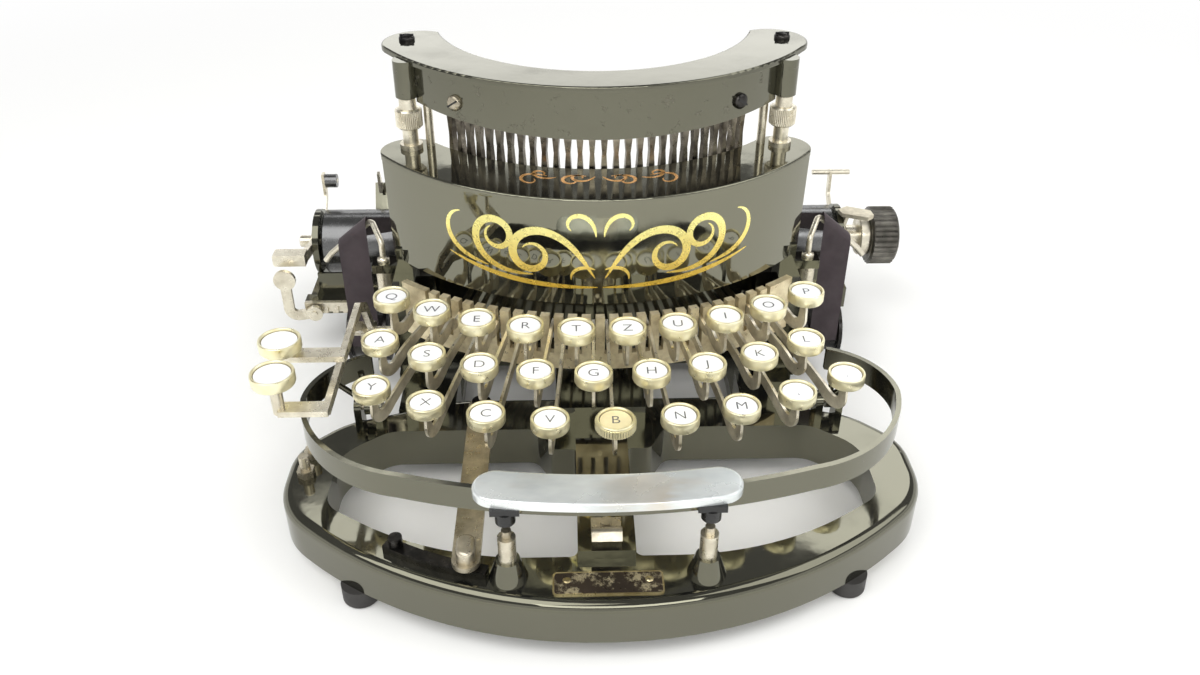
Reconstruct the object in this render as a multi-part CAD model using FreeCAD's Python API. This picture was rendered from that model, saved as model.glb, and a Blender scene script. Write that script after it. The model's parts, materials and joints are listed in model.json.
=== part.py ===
import FreeCAD, Part
import math
import os

from FreeCAD import Vector

# A keyed typewriter, in millimetres. While it is built, the point where the
# types print is X = 0, Y = 0, and the key fan is centred there: -Y is the
# front, +Z is up, and Z = 0 is the table. The finished pieces are moved so
# that the origin is under the middle of the machine.

# ---------------------------------------------------------------- sizes
FRONT_REACH = 234.7          # print point to the front of the base
REAR_REACH = 64.7            # print point to the back of the base
SIDE_REACH = 157.0           # mid-plane to the knob's and the levers' ends

# keyboard
FAN_PITCH = 2.533            # degrees from one key lever to the next
LEVER_COUNT = 28
ROW_NAMES = ("back", "middle", "front")
ROW_RADIUS = (148.0, 164.3, 180.8)
ROW_TOP = (84.0, 75.0, 65.5)
ROW_HOOK = (65.0, 56.5, 47.5)    # lowest point of each row's hook
CAP_DIAMETER = 14.5
CAP_HEIGHT = 4.2
CAP_WALL = 0.8
CAP_FLOOR = 1.2
CARD_THICKNESS = 0.5
GLASS_THICKNESS = 1.7
LEVER_THICKNESS = 1.2
LEVER_WIDTH = 4.0
STEM_WIDTH = 3.4

# lever fulcrum, comb and slot finger
FULCRUM_RADIUS = 48.0
FULCRUM_Z = 45.0
FULCRUM_WIRE = 1.6
COMB_RADIUS = 126.0
COMB_THICKNESS = 3.0
COMB_BOTTOM = 50.0
COMB_TOP = 75.0
COMB_SLOT_BOTTOM = 57.5
COMB_LEVER_Z = 69.0          # where the levers pass the comb
LEVER_DROP_RADIUS = 105.0    # the levers come down behind the comb
LEVER_REAR_Z = 50.0
SLOT_PLAY = 0.35             # each side of a blade in its slot

# type basket
BAR_PITCH = 2.95             # degrees between typebars
BAR_RADIUS = 93.0
BAR_PIVOT_Z = 64.0
BAR_WIRE = 2.0
BAR_THICKNESS = 1.4
BAR_DEPTH = 4.0
TAIL_IN = 3.04               # tail pin from the pivot, towards the print point
TAIL_UP = 1.04               # and above the pivot
BAR_PIN = 1.2
HOOK_PLAY = 0.3              # between the tail pin and the lever's hook
HEAD_WIDTH = 4.1
TYPE_REACH = 3.0             # type face ahead of the pivot line
SEGMENT_INNER = 89.6
SEGMENT_OUTER = 101.0
SEGMENT_BOTTOM = 53.5
SEGMENT_TOP = 68.0
LIVE_BARS = (11, 16)         # lever numbers whose typebars swing

# shield in front of the basket, and its flat top
SHIELD_TOP = 125.4
SHIELD_BOTTOM = 79.0
SHIELD_WALL = 2.4
SHIELD_FRONT = 124.0
SHIELD_HALF_WIDTH = 88.5
SHIELD_SIDE_Y = 80.0
SHIELD_TAPER = 0.8
CRESCENT_INNER = 95.7
CRESCENT_HALF = 46.0         # degrees each side
EAR_SEAT = 72.0              # where the shield's ears stand

# cover over the type heads
COVER_TOP = 163.7
COVER_LID = 2.2
COVER_FRONT = 108.0
COVER_HALF_WIDTH = 84.8
COVER_SIDE_Y = 62.0
COVER_INNER = 91.1
COVER_INNER_X = 66.0
COVER_INNER_Y = 39.5
COVER_WALL_RADIUS = 100.0
COVER_WALL_CENTRE = 5.0
COVER_WALL = 2.0
COVER_WALL_HALF = 73.0
COVER_SKIRT = 141.6
COVER_TILT = 7.2             # degrees, the lower edge rises to the back
PILLAR_X = 77.0
PILLAR_Y = 72.0
PILLAR_DIAMETER = 6.4
NUT_DIAMETER = 11.0
NUT_BOTTOM = 134.5
NUT_HEIGHT = 8.0
POST_X = 69.3
POST_Y = 70.0
POST_DIAMETER = 3.6

# base casting
RIM_TOP = 26.0
SKIRT_BOTTOM = 8.0
RIM_WIDTH = 19.0
CASTING_WALL = 4.0
BASE_HALF_WIDTH = 125.5
RIM_ROUND = 4.0
RING_BACK = 113.5            # print point to the ring's back edge
RIB_HALF_WIDTH = 10.5
RIB_TOP = 30.0
FOOT_DIAMETER = 14.0
ARM_TOP = 11.0
ARM_BOTTOM = 4.0
ARM_INNER = 62.0
ARM_OUTER = 86.0
PEDESTAL_TOP = 38.0
PEDESTAL_HALF = 18.5

# space bar hoop
HOOP_TOP = 59.5
HOOP_HEIGHT = 10.0
HOOP_THICKNESS = 2.0
HOOP_HALF_WIDTH = 115.5
HOOP_PIVOT_Y = 128.0
HOOP_PIVOT_Z = 33.0
HOOP_PIVOT_X = 97.0
HOOP_PIN = 3.0
BAR_LENGTH = 93.0
BAR_PLATE_DEPTH = 16.0
BAR_BOW_RADIUS = 246.9
BAR_Y = 216.0                # middle of the finger plate, ahead of the fan's centre
BAR_PLATE_THICKNESS = 3.5
STOP_X = 35.0
STOP_Y = 219.5
STOP_SEAT = 34.6             # top of the stops' bosses
STOP_SLEEVE = 45.1
STOP_TIP = 48.3
BUMPER_GAP = 4.2

# selector lever
SELECTOR_X = 50.0
SELECTOR_PIVOT_Y = 126.5

# carriage
PLATEN_Z = 43.5
PLATEN_RADIUS = 16.0
PLATEN_LEFT = 136.0           # mid-plane to the barrel's ends
PLATEN_RIGHT = 123.0
AXLE_DIAMETER = 6.0
END_PLATE = 3.0
BORE_PLAY = 0.05
KNOB_DIAMETER = 30.0
RACK_PITCH = 5.1
DRUM_DIAMETER = 24.0

# ribbon
RIBBON_WIDTH = 13.0
RIBBON_THICKNESS = 0.3
RIBBON_X = 107.0
RIBBON_DROP_Y = 72.5
SPOOL_Z = 26.0
SPOOL_Y = 60.0
SPOOL_FLANGE = 13.5
HOOK_WIRE = 2.6
RIBBON_FOLD_IN = 88.4        # where the ribbon goes over its slanted hook
RIBBON_FOLD_OUT = 77.6
RIBBON_LIFT = 0.4            # over the platen

# left-hand shift keys and the front selector lever
SHIFT_CAP_DIAMETER = 16.0
SHIFT_PIVOT_Y = 96.0
SHIFT_PIVOT_Z = 50.0

PARTS = {}


# ---------------------------------------------------------------- helpers
def add(name, *shapes):
    """Keep solids under a node's name."""
    PARTS.setdefault(name, []).extend(shapes)


def box(x0, y0, z0, x1, y1, z1):
    """A box between two corners."""
    return Part.makeBox(x1 - x0, y1 - y0, z1 - z0, Vector(x0, y0, z0))


def rod(start, end, diameter):
    """A round bar from one point to another."""
    start = Vector(*start)
    axis = Vector(*end) - start
    return Part.makeCylinder(diameter / 2, axis.Length, start, axis)


def tube(start, end, outer, inner):
    """A round bar with a hole right through."""
    return rod(start, end, outer).cut(rod(start, end, inner))


def mirrored(shape):
    """The same shape on the other side of the mid-plane."""
    return shape.mirror(Vector(0, 0, 0), Vector(1, 0, 0))


def turned(shape, degrees):
    """A shape turned about the fan's vertical axis."""
    copy = shape.copy()
    copy.rotate(Vector(0, 0, 0), Vector(0, 0, 1), degrees)
    return copy


def fan(radius, degrees, z=0.0):
    """A point of the key fan."""
    a = math.radians(degrees)
    return Vector(radius * math.sin(a), -radius * math.cos(a), z)


def line(a, b):
    return Part.LineSegment(a, b).toShape()


def arc(a, b, c):
    return Part.Arc(a, b, c).toShape()


def plate(edges, z0, z1):
    """A flat plate from plan edges drawn at z = 0."""
    face = Part.Face(Part.Wire(edges))
    face.translate(Vector(0, 0, z0))
    return face.extrude(Vector(0, 0, z1 - z0))


def arc_band(inner, outer, half_angle, z0, z1):
    """Part of a ring about the fan's centre."""
    middle_in = fan(inner, 0)
    middle_out = fan(outer, 0)
    left_in, right_in = fan(inner, -half_angle), fan(inner, half_angle)
    left_out, right_out = fan(outer, -half_angle), fan(outer, half_angle)
    edges = [
        arc(left_out, middle_out, right_out),
        line(right_out, right_in),
        arc(right_in, middle_in, left_in),
        line(left_in, left_out),
    ]
    return plate(edges, z0, z1)


def arc_wire(radius, half_angle, z, diameter):
    """A round wire bent about the fan's centre."""
    path = Part.Wire([arc(fan(radius, -half_angle, z), fan(radius, 0, z), fan(radius, half_angle, z))])
    start = fan(radius, -half_angle, z)
    tangent = Vector(math.cos(math.radians(half_angle)), -math.sin(math.radians(half_angle)), 0)
    section = Part.Wire([Part.Circle(start, tangent, diameter / 2).toShape()])
    return path.makePipeShell([section], True, True)


def strip_face(points, bend, width, place):
    """A flat strip of constant width along a path with rounded bends."""
    points = [Vector(u, v, 0) for u, v in points]
    left, right = [], []
    half = width / 2
    up = Vector(0, 0, 1)
    first = (points[1] - points[0]).normalize()
    side = up.cross(first)
    last_left = points[0] + side * half
    last_right = points[0] - side * half
    start_left, start_right = last_left, last_right
    for before, corner, after in zip(points, points[1:], points[2:]):
        d1 = Vector(corner - before).normalize()
        d2 = Vector(after - corner).normalize()
        turn = d1.getAngle(d2)
        sign = 1 if d1.cross(d2).z > 0 else -1
        reach = bend * math.tan(turn / 2)
        n1, n2 = up.cross(d1), up.cross(d2)
        centre = corner - d1 * reach + n1 * (bend * sign)
        out = Vector(corner - centre).normalize()
        for edges, offset, previous in ((left, half, last_left), (right, -half, last_right)):
            a = corner - d1 * reach + n1 * offset
            b = centre + out * (bend - sign * offset)
            c = corner + d2 * reach + n2 * offset
            edges.append(line(place(previous), place(a)))
            edges.append(arc(place(a), place(b), place(c)))
        last_left = corner + d2 * reach + n2 * half
        last_right = corner + d2 * reach - n2 * half
    last = Vector(points[-1] - points[-2]).normalize()
    side = up.cross(last)
    end_left = points[-1] + side * half
    end_right = points[-1] - side * half
    left.append(line(place(last_left), place(end_left)))
    right.append(line(place(last_right), place(end_right)))
    ends = [line(place(start_left), place(start_right)), line(place(end_left), place(end_right))]
    return Part.Face(Part.Wire(Part.__sortEdges__(left + right + ends)))


def radial_strip(points, bend, width, thickness):
    """A blade in the fan's middle plane; its points are (radius, height)."""
    face = strip_face(points, bend, width, lambda p: Vector(-thickness / 2, -p.x, p.y))
    return face.extrude(Vector(thickness, 0, 0))


def plan_strip(points, bend, width, z0, z1):
    """A strip lying in plan; its points are (x, y)."""
    face = strip_face(points, bend, width, lambda p: Vector(p.x, p.y, z0))
    return face.extrude(Vector(0, 0, z1 - z0))


def side_strip(points, bend, width, x0, x1):
    """A strip in a side view; its points are (y, z)."""
    face = strip_face(points, bend, width, lambda p: Vector(x0, p.x, p.y))
    return face.extrude(Vector(x1 - x0, 0, 0))


def bent_wire(points, bend, diameter):
    """A round wire along straight runs joined by arcs."""
    points = [Vector(*p) for p in points]
    edges = []
    last = points[0]
    for before, corner, after in zip(points, points[1:], points[2:]):
        d1 = Vector(corner - before).normalize()
        d2 = Vector(after - corner).normalize()
        turn = d1.getAngle(d2)
        reach = bend * math.tan(turn / 2)
        a = corner - d1 * reach
        c = corner + d2 * reach
        inward = Vector(d2 - d1).normalize()
        centre = corner + inward * (bend / math.cos(turn / 2))
        b = centre - inward * bend
        edges.append(line(last, a))
        edges.append(arc(a, b, c))
        last = c
    edges.append(line(last, points[-1]))
    start = Vector(points[1] - points[0]).normalize()
    section = Part.Wire([Part.Circle(points[0], start, diameter / 2).toShape()])
    return Part.Wire(edges).makePipeShell([section], True, False)


def fused(first, *others):
    """One clean solid from touching or crossing shapes."""
    whole = first.fuse(list(others)) if others else first
    return whole.removeSplitter()


def flat_edges(shape, z):
    """Edges that lie in one level plane."""
    return [e for e in shape.Edges if abs(e.BoundBox.ZMin - z) < 0.01 and abs(e.BoundBox.ZMax - z) < 0.01]


def rounded(corners):
    """Closed plan face from corners (x, y, radius) joined by tangent arcs."""
    edges = []
    previous_end = None
    first_start = None
    count = len(corners)
    for i in range(count):
        before, here, after = corners[i - 1], corners[i], corners[(i + 1) % count]
        corner = Vector(here[0], here[1], 0)
        d1 = Vector(corner - Vector(before[0], before[1], 0)).normalize()
        d2 = Vector(Vector(after[0], after[1], 0) - corner).normalize()
        turn = d1.getAngle(d2)
        reach = here[2] * math.tan(turn / 2)
        start, end = corner - d1 * reach, corner + d2 * reach
        inward = Vector(d2 - d1).normalize()
        centre = corner + inward * (here[2] / math.cos(turn / 2))
        if previous_end is not None:
            edges.append(line(previous_end, start))
        else:
            first_start = start
        edges.append(arc(start, centre - inward * here[2], end))
        previous_end = end
    edges.append(line(previous_end, first_start))
    return Part.Face(Part.Wire(edges))


def lifted(face, z0, z1):
    """A flat plate from a plan face."""
    copy = face.copy()
    copy.translate(Vector(0, 0, z0))
    return copy.extrude(Vector(0, 0, z1 - z0))


# ---------------------------------------------------------------- base
def ring_face():
    """The base ring's outer edge in plan."""
    side = BASE_HALF_WIDTH
    right = [
        (65.0, -FRONT_REACH, 166.0),
        (side, -180.4, 33.0),
        (side, -146.0, 26.0),
        (side - 17.5, -128.5, 30.0),
        (62.0, -RING_BACK, 40.0),
    ]
    left = [(-x, y, r) for x, y, r in reversed(right)]
    return rounded(right + left)


def ring_window():
    """The right-hand opening between the ring and the central rib."""
    side = BASE_HALF_WIDTH - RIM_WIDTH
    front = FRONT_REACH - RIM_WIDTH - 5
    return rounded([
        (RIB_HALF_WIDTH, -front, 3.0),
        (62.0, -front, 118.0),
        (side, -181.0, 12.0),
        (side, -151.0, 20.0),
        (88.0, -136.5, 14.0),
        (27.0, -136.5, 6.0),
        (20.0, -150.0, 3.0),
        (RIB_HALF_WIDTH, -150.0, 2.0),
    ])


def base_casting():
    """Open front ring, central rib, pedestal and the two rear arms."""
    outline = lifted(ring_face(), SKIRT_BOTTOM, RIM_TOP)
    outline = outline.makeFillet(RIM_ROUND, flat_edges(outline, RIM_TOP))
    window = lifted(ring_window(), SKIRT_BOTTOM - 1, RIM_TOP + 1)
    ring = outline.cut([window, mirrored(window)])
    rib = box(-RIB_HALF_WIDTH, -212, SKIRT_BOTTOM, RIB_HALF_WIDTH, -136, RIB_TOP)
    step = box(-PEDESTAL_HALF, -138, SKIRT_BOTTOM, PEDESTAL_HALF, -42, PEDESTAL_TOP)
    window_slot = box(-15.5, -139, 13, -11.5, -134, 20.5)
    arms = []
    for side in (-1, 1):
        x0, x1 = sorted((side * ARM_INNER, side * ARM_OUTER))
        arms.append(box(x0, -122, ARM_BOTTOM + 4, x1, -96, RIM_TOP))
        arms.append(box(x0, -100, ARM_BOTTOM, x1, REAR_REACH, ARM_TOP))
    cross = box(-ARM_INNER - 1, REAR_REACH - 14, ARM_BOTTOM, ARM_INNER + 1, REAR_REACH, ARM_TOP)
    tie = box(-ARM_INNER - 1, -58, ARM_BOTTOM, ARM_INNER + 1, -44, ARM_TOP)
    pedestal_foot = box(-PEDESTAL_HALF, -60, ARM_BOTTOM, PEDESTAL_HALF, -42, PEDESTAL_TOP)
    bosses = [Part.makeCone(8.2, 4.3, STOP_SEAT - RIM_TOP + 4, Vector(x, -STOP_Y, RIM_TOP - 4))
              for x in (-STOP_X, STOP_X)]
    lugs = []
    for side in (-1, 1):
        for gap in (-4.2, 4.2):
            x = side * HOOP_PIVOT_X + gap
            lug = box(x - 1.5, -HOOP_PIVOT_Y - 4, RIM_TOP - 6, x + 1.5, -HOOP_PIVOT_Y + 4, HOOP_PIVOT_Z)
            eye = rod((x - 1.5, -HOOP_PIVOT_Y, HOOP_PIVOT_Z), (x + 1.5, -HOOP_PIVOT_Y, HOOP_PIVOT_Z), 8.0)
            lugs.extend([lug, eye])
    body = fused(ring, rib, step, cross, tie, pedestal_foot, *arms, *bosses, *lugs)
    cuts = [window_slot, mirrored(window_slot)]
    for side in (-1, 1):
        x0, x1 = side * HOOP_PIVOT_X - 8, side * HOOP_PIVOT_X + 8
        cuts.append(rod((x0, -HOOP_PIVOT_Y, HOOP_PIVOT_Z), (x1, -HOOP_PIVOT_Y, HOOP_PIVOT_Z), HOOP_PIN))
    hollow = box(-PEDESTAL_HALF + CASTING_WALL, -130, SKIRT_BOTTOM - 1,
                 PEDESTAL_HALF - CASTING_WALL, -46, PEDESTAL_TOP - CASTING_WALL)
    cuts.append(hollow)
    groove = lifted(ring_face().makeOffset2D(-CASTING_WALL), SKIRT_BOTTOM - 1, RIM_TOP - CASTING_WALL)
    core = lifted(ring_face().makeOffset2D(CASTING_WALL - RIM_WIDTH), SKIRT_BOTTOM - 2, RIM_TOP)
    groove = groove.cut(core).cut(box(-200, -152, 0, 200, 0, 60))
    cuts.append(groove)
    add("base_casting", body.cut(cuts).removeSplitter())


def feet():
    """Four rubber feet pushed under the casting."""
    for x, y, top in ((92, -203, SKIRT_BOTTOM), (74, REAR_REACH - 9, ARM_BOTTOM)):
        foot = rod((x, y, 0), (x, y, top), FOOT_DIAMETER)
        foot = foot.makeFillet(1.2, flat_edges(foot, 0))
        add("rubber_feet", foot, mirrored(foot))


def nameplate():
    """Plain bevelled plate with two rivets on the rib's front end."""
    z = RIM_TOP
    plan = [
        arc(Vector(-19.5, -228.2, z), Vector(0, -229.6, z), Vector(19.5, -228.2, z)),
        line(Vector(19.5, -228.2, z), Vector(17.5, -218.4, z)),
        arc(Vector(17.5, -218.4, z), Vector(0, -219.4, z), Vector(-17.5, -218.4, z)),
        line(Vector(-17.5, -218.4, z), Vector(-19.5, -228.2, z)),
    ]
    face = Part.Face(Part.Wire(plan))
    sheet = face.extrude(Vector(0, 0, 0.8))
    add("nameplate", sheet)
    for x in (-14.5, 14.5):
        add("nameplate", rod((x, -222.6, z + 0.8), (x, -222.6, z + 1.6), 2.2))


def rib_latch():
    """Spring clip standing on the front of the rib."""
    clip = side_strip([(-196, RIB_TOP + 0.6), (-204, RIB_TOP + 0.6), (-207.5, 37.5), (-211, 33.5)],
                      1.5, 1.2, -5.5, 5.5)
    add("base_fittings", clip)
    add("base_fittings", rod((0, -199.5, RIB_TOP + 1.2), (0, -199.5, RIB_TOP + 2.8), 4.4))


def bar_stops():
    """Sleeved stops that end the space bar's travel."""
    for x in (-STOP_X, STOP_X):
        sleeve = tube((x, -STOP_Y, STOP_SEAT), (x, -STOP_Y, STOP_SLEEVE), 6.4, 3.6)
        screw = rod((x, -STOP_Y, STOP_SEAT), (x, -STOP_Y, STOP_TIP), 3.5)
        add("base_fittings", fused(sleeve, screw))


def selector():
    """Flat lever that swings over a curved rack at the left of the rib."""
    rack = [
        arc(Vector(-81, -206.5, 0), Vector(-62, -216, 0), Vector(-43, -221.5, 0)),
        line(Vector(-43, -221.5, 0), Vector(-42, -217, 0)),
        arc(Vector(-42, -217, 0), Vector(-60, -211.5, 0), Vector(-78.5, -202, 0)),
        line(Vector(-78.5, -202, 0), Vector(-81, -206.5, 0)),
    ]
    rack_top = RIM_TOP + 3.2
    add("base_fittings", plate(rack, RIM_TOP, rack_top))
    add("base_fittings", rod((-76, -206, rack_top), (-76, -206, RIM_TOP + 7), 5.0))
    x, y = -SELECTOR_X, -SELECTOR_PIVOT_Y
    z = rack_top + 0.2
    arm = box(x - 5.1, -214, z, x + 5.1, y, z + 2)
    eye = rod((x, y, z), (x, y, z + 2), 11.0)
    tip = rod((x, -216, z), (x, -216, z + 2), 10.2)
    pull = box(x - 3.4, -219.5, z + 1, x + 3.4, -208.5, z + 7.5)
    pull = pull.makeFillet(3.2, [e for e in pull.Edges if e.BoundBox.ZLength > 5])
    pull = pull.makeFillet(1.6, flat_edges(pull, z + 7.5))
    lever = fused(arm, eye, tip, pull)
    add("selector_lever", lever.cut(rod((x, y, 0), (x, y, 60), 5.0 + 2 * BORE_PLAY)))
    add("base_fittings", fused(rod((x, y, RIM_TOP), (x, y, z - 0.2), 9.0),
                               rod((x, y, RIM_TOP), (x, y, z + 2.2), 5.0),
                               rod((x, y, z + 2.2), (x, y, z + 4.4), 8.0)))


# ---------------------------------------------------------------- type basket
def lever_angle(index):
    return (index - (LEVER_COUNT - 1) / 2) * FAN_PITCH


def bar_angle(index):
    return (index - (LEVER_COUNT - 1) / 2) * BAR_PITCH


def rear_angle(index):
    """Angle of a lever's rear arm, which lies beside its typebar."""
    beside = LEVER_THICKNESS / 2 + BAR_THICKNESS / 2 + SLOT_PLAY
    return bar_angle(index) + math.degrees(beside / (BAR_RADIUS - TAIL_IN))


def basket_frame():
    """Side uprights, the curved comb and the fulcrum block."""
    half = lever_angle(LEVER_COUNT - 1) + 6.5
    segment_half = bar_angle(LEVER_COUNT - 1) + 5.5
    comb = arc_band(COMB_RADIUS - COMB_THICKNESS / 2, COMB_RADIUS + COMB_THICKNESS / 2,
                    half, COMB_BOTTOM, COMB_TOP)
    slot_width = LEVER_THICKNESS + 2 * SLOT_PLAY
    slot = box(-slot_width / 2, -COMB_RADIUS - 4, COMB_SLOT_BOTTOM,
               slot_width / 2, -COMB_RADIUS + 4, COMB_TOP + 1)
    comb = comb.cut([turned(slot, lever_angle(i)) for i in range(LEVER_COUNT)])
    add("key_comb", comb)

    segment = arc_band(SEGMENT_INNER, SEGMENT_OUTER, segment_half, SEGMENT_BOTTOM, SEGMENT_TOP)
    bar_slot_width = BAR_THICKNESS + 2 * SLOT_PLAY
    bar_slot = box(-bar_slot_width / 2, -98.8, SEGMENT_BOTTOM + 2,
                   bar_slot_width / 2, -SEGMENT_INNER + 3, SEGMENT_TOP + 1)
    slot_half = LEVER_THICKNESS / 2 + SLOT_PLAY
    finger_slot = box(-slot_half, -BAR_RADIUS + BAR_WIRE / 2 - 0.2, SEGMENT_BOTTOM - 1,
                      LEVER_THICKNESS / 2 + SLOT_PLAY, -SEGMENT_INNER + 3, SEGMENT_TOP + 1)
    cuts = [turned(bar_slot, bar_angle(i)) for i in range(LEVER_COUNT)]
    pin_room = box(-LEVER_THICKNESS / 2 - SLOT_PLAY, -BAR_RADIUS, SEGMENT_BOTTOM - 1,
                   LEVER_THICKNESS / 2 + SLOT_PLAY, -SEGMENT_INNER + 3, BAR_PIVOT_Z - BAR_WIRE / 2 - 0.4)
    cuts += [turned(finger_slot.fuse(pin_room), rear_angle(i)) for i in LIVE_BARS]
    cuts.append(arc_wire(BAR_RADIUS, segment_half + 1, BAR_PIVOT_Z, BAR_WIRE))
    segment = segment.cut(cuts)
    add("segment_blocks", segment)
    add("pivot_wires", arc_wire(BAR_RADIUS, segment_half, BAR_PIVOT_Z, BAR_WIRE))

    fulcrum_half = bar_angle(LEVER_COUNT - 1) + 5.0
    block = arc_band(FULCRUM_RADIUS - 4, FULCRUM_RADIUS + 4, fulcrum_half, PEDESTAL_TOP, FULCRUM_Z + 3.5)
    rear_slot = box(-slot_width / 2, -FULCRUM_RADIUS - 5, FULCRUM_Z - 4,
                    slot_width / 2, -FULCRUM_RADIUS + 5, FULCRUM_Z + 5)
    cuts = [turned(rear_slot, rear_angle(i)) for i in range(LEVER_COUNT)]
    cuts.append(arc_wire(FULCRUM_RADIUS, fulcrum_half + 1, FULCRUM_Z, FULCRUM_WIRE))
    add("segment_blocks", block.cut(cuts))
    add("pivot_wires", arc_wire(FULCRUM_RADIUS, fulcrum_half, FULCRUM_Z, FULCRUM_WIRE))


def side_uprights():
    """Castings that carry the comb, the segment and the shield."""
    x0, x1 = 78.5, 88.0
    post = box(x0, -97, ARM_TOP, x1, -76, EAR_SEAT)
    foot = box(x0 - 8, -100, RIM_TOP, x1, -72, RIM_TOP + 4)
    comb_ear = box(74, -98, COMB_BOTTOM, x0 + 1, -92.5, COMB_TOP - 5)
    segment_ear = box(71.2, -80, SEGMENT_BOTTOM, x0 + 1, -60, SEGMENT_TOP)
    shield_ear = box(x1 - 1, -84, 56, 97.5, -76, 60)
    reach = arc_band(COMB_RADIUS - COMB_THICKNESS / 2, COMB_RADIUS + COMB_THICKNESS / 2,
                     lever_angle(LEVER_COUNT - 1) + 6.5, COMB_BOTTOM, COMB_TOP)
    segment = arc_band(SEGMENT_INNER, SEGMENT_OUTER,
                       bar_angle(LEVER_COUNT - 1) + 5.5, SEGMENT_BOTTOM, SEGMENT_TOP)
    post = post.cut(box(x0 - 1, -98, ARM_TOP - 1, x1 + 1, -95.9, RIM_TOP))
    upright = fused(post, comb_ear, segment_ear, shield_ear, foot).cut([reach, segment])
    upright = upright.cut(box(0, -100, ARM_TOP - 1, ARM_OUTER, -95.9, RIM_TOP))
    solids = [s for s in upright.Solids if s.Volume > 500]
    for solid in solids:
        add("frame_castings", solid, mirrored(solid))


def drum(z, inset, thickness):
    """Plan wire of the shield's drum; the inner one runs out at the back."""
    half, side = SHIELD_HALF_WIDTH - inset - thickness * 0.7, -SHIELD_SIDE_Y + thickness * 0.7
    left, right = Vector(-half, side, z), Vector(half, side, z)
    edges = [arc(left, Vector(0, -SHIELD_FRONT + inset + thickness, z), right)]
    if thickness:
        rear_left, rear_right = Vector(-half, side + 20, z), Vector(half, side + 20, z)
        edges += [line(right, rear_right), line(rear_right, rear_left), line(rear_left, left)]
    else:
        edges.append(line(right, left))
    return Part.Wire(edges)


def shield():
    """Curved drum wall under a flat crescent top."""
    ceiling = SHIELD_TOP - SHIELD_WALL / 2
    wall = Part.makeLoft([drum(SHIELD_BOTTOM, SHIELD_TAPER, 0), drum(ceiling, 0, 0)], True, True)
    wall = wall.cut(Part.makeLoft([drum(SHIELD_BOTTOM, SHIELD_TAPER, SHIELD_WALL),
                                   drum(ceiling, 0, SHIELD_WALL)], True, True))
    side = SHIELD_HALF_WIDTH
    end = [Vector(side, -SHIELD_SIDE_Y, 0), Vector(side - 2.7, -66.5, 0),
           fan(CRESCENT_INNER, CRESCENT_HALF)]
    left = [Vector(-p.x, p.y, 0) for p in end]
    plan = [
        arc(left[0], Vector(0, -SHIELD_FRONT, 0), end[0]),
        arc(end[0], end[1], end[2]),
        arc(end[2], fan(CRESCENT_INNER, 0), left[2]),
        arc(left[2], left[1], left[0]),
    ]
    top = plate(plan, SHIELD_TOP - SHIELD_WALL, SHIELD_TOP)
    front_edge = max(flat_edges(top, SHIELD_TOP), key=lambda edge: edge.Length)
    top = top.makeFillet(0.9, [front_edge])
    ear = box(80, -84.5, EAR_SEAT, 97.5, -76, EAR_SEAT + 4).fuse(box(80, -84.5, EAR_SEAT, 86.5, -79.5, 84))
    add("type_shield", fused(wall, top, ear, mirrored(ear)))
    for side_sign in (-1, 1):
        x = side_sign * 93.0
        add("nuts_and_screws", rod((x, -80, 60), (x, -80, EAR_SEAT), 7.6))
        add("nuts_and_screws", rod((x, -80, EAR_SEAT + 4), (x, -80, 78.5), 5.4))


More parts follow.
